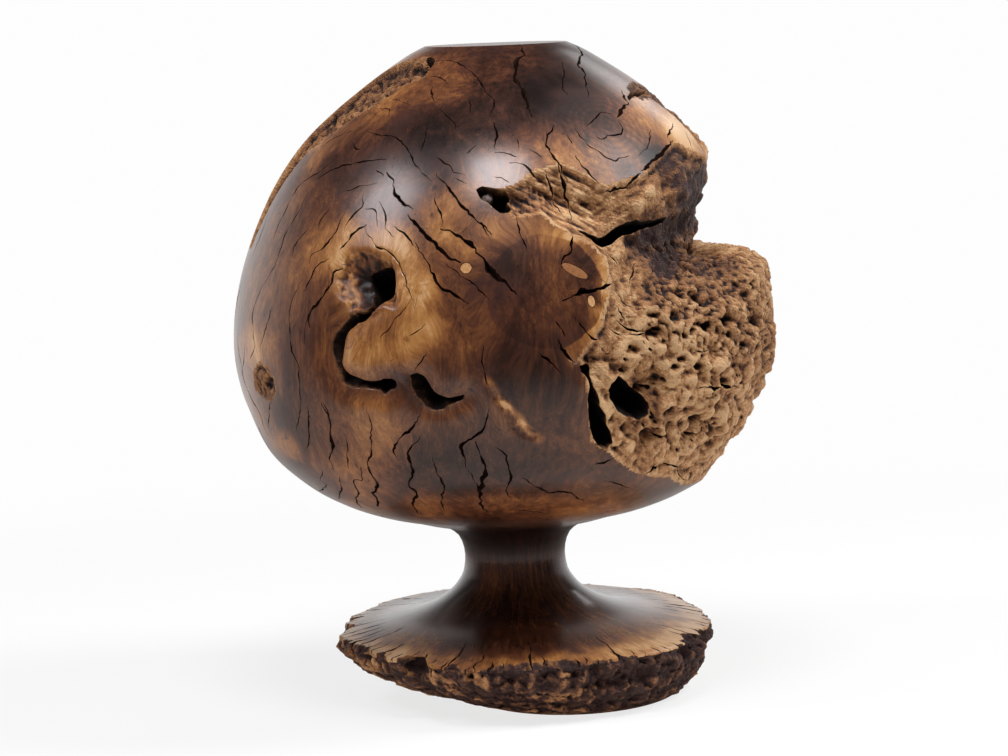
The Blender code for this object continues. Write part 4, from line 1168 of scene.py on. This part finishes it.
# Painted shade: the neck under the globe is painted darker, standing in for the shadow that the globe casts on it.
neck_shade = 0.04 + 0.22 * smooth_step((globe_points[:, 2] - 64) / 8)
polish_tone -= smooth_step((85 - globe_points[:, 2]) / 3) * neck_shade
skin_tone = front_only * stroke_tone(globe_points, SKIN_STROKES)
shoulder = smooth_step((globe_points[:, 2] - 252 + 4 * waves(globe_points, 9.0)) / 12)
skin_tone -= np.where(globe_points[:, 0] < 0, 0.16, 0.32) * shoulder
fibrous = smooth_step((612 - seen_x) / 16) * smooth_step((238 - seen_y) / 12) * smooth_step((seen_x - 490) / 10)
waist = smooth_step((84 - globe_points[:, 2]) / 5)
on_bulge = smooth_step((46 - np.linalg.norm(globe_points - seen_at(618, 146), axis=1)) / 18)
shine = waist * neck_shine(globe_points[:, 2]) - on_bulge
shine -= 1.5 * smooth_step(inside_distance(globe_points, POCKET) / 2)
shine -= 1.5 * smooth_step(inside_distance(globe_points, STRIP) / 0.8)

foot_points = places(foot)
foot_radius = np.hypot(foot_points[:, 0], foot_points[:, 1])
foot_edge = foot_radius + 6.0 * waves(foot_points, 8.0, shift=5.0)
foot_turn = azimuth_of(foot_points)
# Painted light: the flare is painted darker in front, standing in for the dark reflection of the globe's underside,
# and lighter to the sides, partly lighter wood and partly a painted sheen.
sheen_side = smooth_step((np.abs(foot_turn + 2) - 14) / 34)
foot_tone = 0.33 - 0.06 * (1 - sheen_side) * smooth_step((foot_radius - 30) / 16)
foot_tone += 0.20 * sheen_side * smooth_step((foot_edge - 44) / 26) + 0.38 * smooth_step((foot_edge - 69) / 13)
foot_tone += 0.12 * waves(foot_points, 30.0)
gold = smooth_step((waves(foot_points, 9.0, shift=3.0) + 0.5 * waves(foot_points, 4.0) - 0.12) / 0.3)
dark_side = smooth_step((foot_turn - 12) / 20) * smooth_step((100 - foot_turn) / 20)
none = np.zeros(len(foot_points))

for piece, numbers in (
    (globe, {"tone": polish_tone, "skin_tone": skin_tone, "under": sunk_below(globe_points),
             "fibrous": fibrous * front_only, "shine": shine}),
    (foot, {"tone": foot_tone, "skin_tone": (0.36 - 0.20 * dark_side) * gold - 0.12 * dark_side - 0.44,
            "under": none, "fibrous": none,
            "shine": smooth_step((72 - foot_radius) / 14) * neck_shine(foot_points[:, 2])}),
):
    for name, values in numbers.items():
        add_attribute(piece, name, values)
print("attributes:", [a.name for a in foot.data.attributes])

# %% [markdown]
# ## Materials as sums
# A finish is a sum of noises and attributes. A small class wraps a socket, so that such a sum is written as Python
# writes it, and each operator adds its Math node.

# %% Wires and benches
class Wire:
    """An output socket with Python's operators."""

    def __init__(self, bench, socket):
        self.bench, self.socket = bench, socket

    def _maths(self, operation, *values):
        return self.bench.node("ShaderNodeMath", {"operation": operation}, dict(enumerate(values)))

    def __add__(self, other): return self._maths("ADD", self, other)
    def __radd__(self, other): return self._maths("ADD", other, self)
    def __sub__(self, other): return self._maths("SUBTRACT", self, other)
    def __rsub__(self, other): return self._maths("SUBTRACT", other, self)
    def __mul__(self, other): return self._maths("MULTIPLY", self, other)
    def __rmul__(self, other): return self._maths("MULTIPLY", other, self)
    def __truediv__(self, other): return self._maths("DIVIDE", self, other)
    def __pow__(self, other): return self._maths("POWER", self, other)
    def least(self, other): return self._maths("MINIMUM", self, other)
    def most(self, other): return self._maths("MAXIMUM", self, other)


class Bench:
    """A material being made: one method adds any node."""

    def __init__(self, material):
        material.use_nodes = True
        self.tree = material.node_tree
        self.tree.nodes.clear()

    def node(self, kind, settings=None, inputs=None, out=0):
        """Adds a node; an input may be a Wire or a plain value. Returns the output numbered out."""
        node = self.tree.nodes.new(kind)
        for key, value in (settings or {}).items():
            if key == "stops":
                stops = node.color_ramp.elements
                stops[0].position, stops[1].position = value[0][0], value[-1][0]
                for place, _ in value[1:-1]:
                    stops.new(place)
                for stop, (_, colour) in zip(stops, value):
                    stop.color = (*colour, 1.0)
            else:
                setattr(node, key, value)
        for key, value in (inputs or {}).items():
            if isinstance(value, Wire):
                self.tree.links.new(value.socket, node.inputs[key])
            else:
                node.inputs[key].default_value = value
        return Wire(self, node.outputs[out]) if len(node.outputs) else None

    def scaled(self, place, amount):
        return self.node("ShaderNodeVectorMath", {"operation": "SCALE"}, {0: place, "Scale": amount})

    def millimetres(self):
        return self.scaled(self.node("ShaderNodeTexCoord", out=3), 1 / MM)

    def attribute(self, name):
        return self.node("ShaderNodeAttribute", {"attribute_name": name}, out=2)

    def stretch(self, place, sizes, shift=(0, 0, 0), lean=0.0):
        return self.node("ShaderNodeMapping", {"vector_type": "TEXTURE"}, {
            "Vector": place, "Scale": sizes, "Location": shift, "Rotation": (0, math.radians(lean), 0)})

    def noise(self, place, detail=2.0, rough=0.5, out=0):
        return self.node("ShaderNodeTexNoise", {"noise_dimensions": "3D"}, {
            "Vector": place, "Scale": 1.0, "Detail": detail, "Roughness": rough}, out)

    def cells(self, place, feature="F1", out=0):
        return self.node("ShaderNodeTexVoronoi", {"feature": feature}, {"Vector": place, "Scale": 1.0}, out)

    def vector(self, operation, one, two):
        return self.node("ShaderNodeVectorMath", {"operation": operation}, {0: one, 1: two})

    def length(self, way):
        return self.node("ShaderNodeVectorMath", {"operation": "LENGTH"}, {0: way}, 1)

    def axis(self, place, number):
        return self.node("ShaderNodeSeparateXYZ", {}, {0: place}, number)

    def step(self, value, low, high):
        """0 below low, 1 above high, smooth between; the other way round when low is the larger."""
        return self.node("ShaderNodeMapRange", {"interpolation_type": "SMOOTHSTEP"}, {
            "Value": value, "From Min": low, "From Max": high})

    def ramp(self, value, stops):
        return self.node("ShaderNodeValToRGB", {"stops": stops}, {0: value})

    def blend(self, amount, one, two, kind="MIX"):
        return self.node("ShaderNodeMix", {"data_type": "RGBA", "blend_type": kind}, {0: amount, 6: one, 7: two}, 2)

    def bump(self, height, distance, strength=1.0):
        return self.node("ShaderNodeBump", {}, {"Height": height, "Distance": distance, "Strength": strength})

    def finish(self, **sockets):
        sockets = {key.replace("_", " "): value for key, value in sockets.items()}
        shader = self.node("ShaderNodeBsdfPrincipled", {}, sockets)
        self.node("ShaderNodeOutputMaterial", {}, {"Surface": shader})


def bench(name):
    return Bench(bpy.data.materials.get(name) or bpy.data.materials.new(name))


# %% [markdown]
# ## The polish
# Oiled burl shows mottled pale and dark wood, fine streaks along the grain that part round each knot, small dark
# eyes, and hairlines too thin to cut. The grain runs up the piece, so the streaks are noise that is stretched in
# height; near a knot the noise's place is pushed outwards, and the streaks bend round it.

# %% Polished burl
KNOTS = [(384, 292, 20, 0.9), (382, 352, 16, 0.8), (548, 292, 24, 0.7), (604, 124, 12, 0.9), (500, 196, 12, 0.7),
         (436, 396, 12, 0.6), (263, 382, 10, 0.8)]
POLISH_STOPS = [
    (0.0, (0.009, 0.003, 0.002)), (0.20, (0.032, 0.010, 0.005)), (0.38, (0.082, 0.027, 0.012)),
    (0.54, (0.165, 0.060, 0.021)), (0.70, (0.29, 0.118, 0.034)), (0.86, (0.45, 0.215, 0.066)),
    (1.0, (0.60, 0.36, 0.17)),
]


def grain_places(b):
    """Places for the grain: warped a little, pushed out from each knot, and fanned out below the globe."""
    place = b.millimetres()
    warp = b.noise(b.stretch(place, (26, 26, 34)), 1.0, out=1)
    warp = b.vector("SUBTRACT", warp, (0.5, 0.5, 0.5))
    bent = b.vector("ADD", place, b.scaled(warp, 18.0))
    for x, y, reach, push in KNOTS:
        centre = tuple(seen_at(x, y))
        offset = b.vector("SUBTRACT", place, centre)
        fade = b.step(b.length(offset), reach * 1.7, reach * 0.3) * push
        bent = b.vector("ADD", bent, b.scaled(offset, fade))
    x, y, z = (b.axis(place, number) for number in range(3))
    radius = (x * x + y * y) ** 0.5
    along = b.node("ShaderNodeCombineXYZ", {}, {0: 62.0 * x / radius, 1: 62.0 * y / radius, 2: radius - z})
    low = b.step(z, SKIN_LOWEST, SKIN_LOWEST - 1)
    bent = b.vector("ADD", b.scaled(bent, 1.0 - low), b.scaled(along, low))
    return place, bent, low


def away_from(b, place, x, y):
    """The distance, in millimetres, from what the picture shows at x, y."""
    return b.length(b.vector("SUBTRACT", place, tuple(seen_at(x, y))))


def hairlines(b, bent, sizes, width, shift):
    """Thin dark lines along the borders of long cells, broken up by noise."""
    line = b.cells(b.stretch(bent, sizes, (shift, 0, 0)), "DISTANCE_TO_EDGE")
    here = b.step(b.noise(b.stretch(bent, (13, 13, 30), (shift, 3, 0)), 2.0), 0.54, 0.62)
    return b.step(line, width, width * 0.35) * here


b = bench("polished_burl")
place, bent, low = grain_places(b)
mottle = b.noise(b.stretch(bent, (30, 30, 44)), 4.0, 0.55)
streak = b.noise(b.stretch(bent, (3.2, 3.2, 30)), 4.0, 0.62)
fibre = b.noise(b.stretch(bent, (0.7, 0.7, 6.0)), 3.0, 0.6)
fleck = b.noise(b.stretch(bent, (5.0, 5.0, 7.0), (5, 0, 0)), 4.0, 0.65)
grain = b.noise(b.stretch(place, (1.1, 1.1, 1.6)), 3.0, 0.6)
eyes = b.cells(b.stretch(bent, (11, 11, 12)), "F1")
eye_rings = b.step(eyes, 0.15, 0.04) * b.step(b.noise(b.stretch(place, (24, 24, 24)), 1.0), 0.52, 0.6)

ragged = 5.0 * (b.noise(b.stretch(place, (12, 12, 12)), 3.0) - 0.5)
heart = away_from(b, place, 546, 292) + ragged
heart_band = b.step(heart, 24.6, 25.4) * b.step(heart, 36.0, 32.0) * b.step(b.axis(place, 0), 22.0, 30.0)
heart_dark = b.step(heart, 25.4, 24.4) * b.step(heart, 12.0, 24.0)
fold = away_from(b, place, 607, 126) + 1.4 * ragged
rings = b.node("ShaderNodeMath", {"operation": "SINE"}, {0: fold * 1.9 + 5.0 * (fleck - 0.5)})
near_fold = b.step(fold, 44.0, 12.0)
shine = b.attribute("shine")
# The filled pocket and strip have a shine below -1.05; crumbly noise and painted shade in their pits break up their
# tone.
filling = b.step(shine, -1.05, -1.4)
crumbs_and_pit_shade = 0.5 * (b.noise(b.stretch(place, (1.6, 1.6, 1.6)), 3.0) - 0.5) - 0.7 * b.attribute("pit").most(-0.2)
tone = (b.attribute("tone") + 0.62 * (mottle - 0.5) + 0.56 * (streak - 0.5) + 0.36 * (fleck - 0.5)
        + (0.34 + 0.3 * low) * (fibre - 0.5) + 0.16 * (grain - 0.5) - 0.25 * eye_rings
        + 0.24 * heart_band - 0.10 * heart_dark + 0.055 * rings * near_fold + filling * crumbs_and_pit_shade)
lines = 0.6 * hairlines(b, bent, (4.2, 4.2, 34.0), 0.022, 0.0)
wood = b.ramp(tone, POLISH_STOPS)
purple = b.step(b.noise(b.stretch(place, (34, 34, 34), (9, 0, 0)), 2.0), 0.46, 0.62) * b.step(tone, 0.5, 0.2)
purple = purple * b.step(shine, -1.3, -0.5)
wood = b.blend(purple * 0.45, wood, (0.062, 0.026, 0.022, 1))
wood = b.blend(lines * 0.85, wood, (0.006, 0.003, 0.002, 1))
rough = 0.31 + 0.14 * (fleck - 0.5) + 0.12 * (fibre - 0.5) - 0.12 * shine
height = 0.10 * fibre + 0.12 * streak + 0.06 * fleck - 0.2 * lines
b.finish(**{
    "Base_Color": wood, "Roughness": rough, "Normal": b.bump(height, 0.25 * MM, 0.5),
    "Coat_Weight": 0.30 * (1.0 - lines) * (1.0 + shine.least(0.0)).most(0.0), "Coat_Roughness": 0.2, "IOR": 1.45,
})

# %% [markdown]
# ## The skin, the hollows and the cracks
# The skin is paler on its warts' tops and painted nearly black in its pits, as shade, so its colour follows the
# pit attributes. Hollow walls are painted darker with depth, and crack walls almost black, both as painted shade.

# %% Rough finishes
SKIN_STOPS = [
    (0.0, (0.008, 0.0035, 0.0028)), (0.20, (0.036, 0.015, 0.010)), (0.38, (0.113, 0.046, 0.021)),
    (0.56, (0.225, 0.098, 0.038)), (0.74, (0.36, 0.172, 0.068)), (0.90, (0.50, 0.272, 0.120)),
    (1.0, (0.62, 0.385, 0.20)),
]
b = bench("burl_skin")
place = b.millimetres()
pit, hollow = b.attribute("pit"), b.attribute("hollow")
grain = b.noise(b.stretch(place, (1.0, 1.0, 1.0)), 4.0, 0.7)
grit = b.noise(b.stretch(place, (0.42, 0.42, 0.36)), 2.0, 0.6)
patch = b.noise(b.stretch(place, (12, 12, 9)), 4.0, 0.6)
crumb = b.cells(b.stretch(place, (2.2, 2.2, 1.9)), "SMOOTH_F1")
small_crumb = b.cells(b.stretch(place, (1.2, 1.2, 1.0), (2, 0, 0)))
blot = b.noise(b.stretch(place, (4.2, 4.2, 3.2), (4, 0, 0)), 4.0, 0.65)
drawn = b.noise(b.stretch(place, (9.0, 2.6, 1.0), lean=28), 3.0, 0.6)
fibrous, given = b.attribute("fibrous"), b.attribute("skin_tone")
# Painted shade: the skin is darkened in its pits and wide hollows, and lightened on the tops of its warts.
pit_shade = 0.95 * pit.most(0.0) + 0.35 * pit.least(0.0).most(-0.35)
tone = (0.66 + given - pit_shade - 0.10 * hollow.most(-1.5) + 0.60 * (patch - 0.5)
        + 0.50 * (grain - 0.5) + 0.34 * (grit - 0.5) + 0.66 * (blot - 0.5) - 0.14 * (crumb - 0.4)
        - 0.20 * (small_crumb - 0.5) + 0.7 * (drawn - 0.5) * fibrous)
skin = b.ramp(tone, SKIN_STOPS)
plum = b.step(given + 0.5 * (blot - 0.5), -0.12, -0.38) * b.step(tone, 0.6, 0.25) * 0.55
skin = b.blend(plum, skin, (0.050, 0.021, 0.019, 1))
height = grain * 0.7 + blot * 0.5 - crumb * 0.7 - small_crumb * 0.6 + grit * 0.4
height = height * (1.0 - 0.6 * fibrous) + 1.2 * drawn * fibrous
b.finish(**{
    "Base_Color": skin, "Roughness": 0.60 + 0.3 * (grain - 0.5) + 0.2 * pit,
    "Normal": b.bump(height, 1.0 * MM, 0.95), "IOR": 1.36,
})

b = bench("hollow_wall")
place = b.millimetres()
under = b.attribute("under")
grain = b.noise(b.stretch(place, (2.2, 2.2, 2.2)), 4.0, 0.6)
# Painted shade: the walls darken with depth under the polish and in their pits.
tone = 0.62 - 0.05 * under + 0.7 * (grain - 0.5) - 0.5 * b.attribute("pit")
wall = b.ramp(tone, [(0.0, (0.003, 0.0014, 0.001)), (0.3, (0.022, 0.009, 0.005)), (0.65, (0.14, 0.062, 0.026)),
                     (1.0, (0.36, 0.19, 0.085))])
b.finish(**{
    "Base_Color": wall, "Roughness": 0.8 + 0.2 * (grain - 0.5), "Normal": b.bump(grain, 1.2 * MM, 0.8), "IOR": 1.3})

b = bench("crack_wall")
place = b.millimetres()
grain = b.noise(b.stretch(place, (1.6, 1.6, 3.0)), 3.0, 0.6)
# Painted shade: the crack walls are coloured nearly black.
b.finish(**{
    "Base_Color": b.ramp(grain, [(0.35, (0.004, 0.002, 0.0015)), (0.75, (0.028, 0.012, 0.007))]),
    "Roughness": 0.9, "Normal": b.bump(grain, 0.6 * MM, 0.6), "IOR": 1.15})

# %% Inlays
for node, light, dark in (("plug_round", (0.62, 0.33, 0.13), (0.40, 0.19, 0.07)),
                          ("plug_oval", (0.66, 0.38, 0.17), (0.44, 0.22, 0.09)),
                          ("plug_long", (0.33, 0.138, 0.045), (0.23, 0.088, 0.028)),
                          ("dead_knot", (0.36, 0.28, 0.25), (0.14, 0.10, 0.09))):
    b = bench(node + "_finish")
    place = b.millimetres()
    grain = b.noise(b.stretch(place, (0.5, 0.5, 1.6)), 3.0, 0.6)
    b.finish(**{
        "Base_Color": b.blend(b.step(grain, 0.35, 0.65), (*dark, 1), (*light, 1)),
        "Roughness": 0.34 + 0.2 * grain, "Normal": b.bump(grain, 0.1 * MM, 0.5)})
    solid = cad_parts[node]
    solid.material_slots[0].material = bpy.data.materials[node + "_finish"]
print("materials:", sorted(m.name for m in bpy.data.materials))

# %% [markdown]
# ## Studio
# The piece stands on a white sweep. The room behind it is white, so its edges shine, and the room on the
# picture's side is dim, so the polish keeps its depth. Two soft boxes above give the broad lights on the shoulder,
# a third on the right lights the skin, and a weak fourth behind gives the right bulge its rim. The floor glows as
# white paper does under a studio's lights: the camera sees it nearly white, and wood near it gets a warm light.

# %% Floor, room and lights
FLOOR_FADES = (330, 760)
WHITE = (1, 1, 1, 1)


def set_floor():
    """A disc of white paper that fades out into the room."""
    bpy.ops.object.select_all(action="DESELECT")
    bpy.ops.mesh.primitive_circle_add(vertices=96, radius=6.0, fill_type="NGON")
    floor = bpy.context.object
    floor.name = "studio_floor"
    b = bench("studio_floor")
    place = b.millimetres()
    straight, spread = b.node("ShaderNodeLightPath"), b.node("ShaderNodeLightPath", out=2)
    paper = b.blend(straight, (0.5, 0.49, 0.47, 1), (0.2, 0.2, 0.2, 1))
    onward = b.blend(spread, (0, 0, 0, 1), (0.8, 0.72, 0.66, 1))
    glow = b.blend(straight, onward, (0.765, 0.765, 0.765, 1))
    shade = b.node("ShaderNodeBsdfDiffuse", {}, {"Color": paper})
    light = b.node("ShaderNodeEmission", {}, {"Color": glow, "Strength": 1.0})
    lit = b.node("ShaderNodeAddShader", {}, {0: shade, 1: light})
    clear = b.node("ShaderNodeBsdfTransparent", {})
    fade = b.step(b.length(place), *FLOOR_FADES)
    both = b.node("ShaderNodeMixShader", {}, {0: fade, 1: lit, 2: clear})
    b.node("ShaderNodeOutputMaterial", {}, {"Surface": both})
    floor.data.materials.append(bpy.data.materials["studio_floor"])


def set_room():
    """The camera sees white all round; the wood sees white behind it and dim light in front."""
    room = bpy.data.worlds.new("studio_room")
    bpy.context.scene.world = room
    room.use_nodes = True
    b = Bench(room)
    ray, way = b.node("ShaderNodeLightPath"), b.node("ShaderNodeTexCoord")
    behind = b.step(b.axis(way, 1), -0.15, 0.7) * b.step(b.axis(way, 2), 0.5, 0.15)
    lit = b.node("ShaderNodeBackground", {}, {"Color": WHITE, "Strength": 0.07 + 0.9 * behind})
    seen = b.node("ShaderNodeBackground", {}, {"Color": WHITE, "Strength": 0.985})
    both = b.node("ShaderNodeMixShader", {}, {0: ray, 1: lit, 2: seen})
    b.node("ShaderNodeOutputWorld", {}, {"Surface": both})


def soft_box(name, azimuth, elevation, distance, wide, tall, watts, tint):
    """A soft box that looks at the piece's middle."""
    a, e = math.radians(azimuth), math.radians(elevation)
    way = Vector((math.sin(a) * math.cos(e), -math.cos(a) * math.cos(e), math.sin(e)))
    bpy.ops.object.light_add(type="AREA", location=Vector((0, 0, 0.16)) + way * distance)
    light = bpy.context.object
    light.name = name
    light.rotation_euler = (-way).to_track_quat("-Z", "Y").to_euler()
    light.data.shape = "RECTANGLE"
    light.data.size, light.data.size_y = wide, tall
    light.data.energy = watts
    light.data.color = tint


set_floor()
set_room()
# name, azimuth, elevation, distance, width, height, watts, tint
for facts in (
    ("box_left", -68, 45, 1.6, 0.55, 0.55, 10, (1.0, 0.97, 1.0)),
    ("box_front", -1, 63, 1.5, 0.5, 0.45, 13, (1.0, 0.96, 0.98)),
    ("box_right", 84, 46, 1.7, 0.6, 0.7, 22, (1, 1, 1)),
    ("box_behind", 150, 33, 1.6, 0.45, 0.45, 1.6, (1, 1, 1)),
):
    soft_box(*facts)
bpy.context.scene.view_settings.view_transform = "Standard"

# %% [markdown]
# ## Handing the pieces to the frame
# The two dressed pieces ride on the imported body and stand for its solid, which is hidden. The triangles of each
# dressed piece are printed.

# %% Frame and sizes
for piece in (globe, foot):
    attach(piece, "root")
    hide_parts("burl")
triangles = {p.name: sum(len(f.vertices) - 2 for f in p.data.polygons) for p in (globe, foot)}
print("triangles:", triangles)
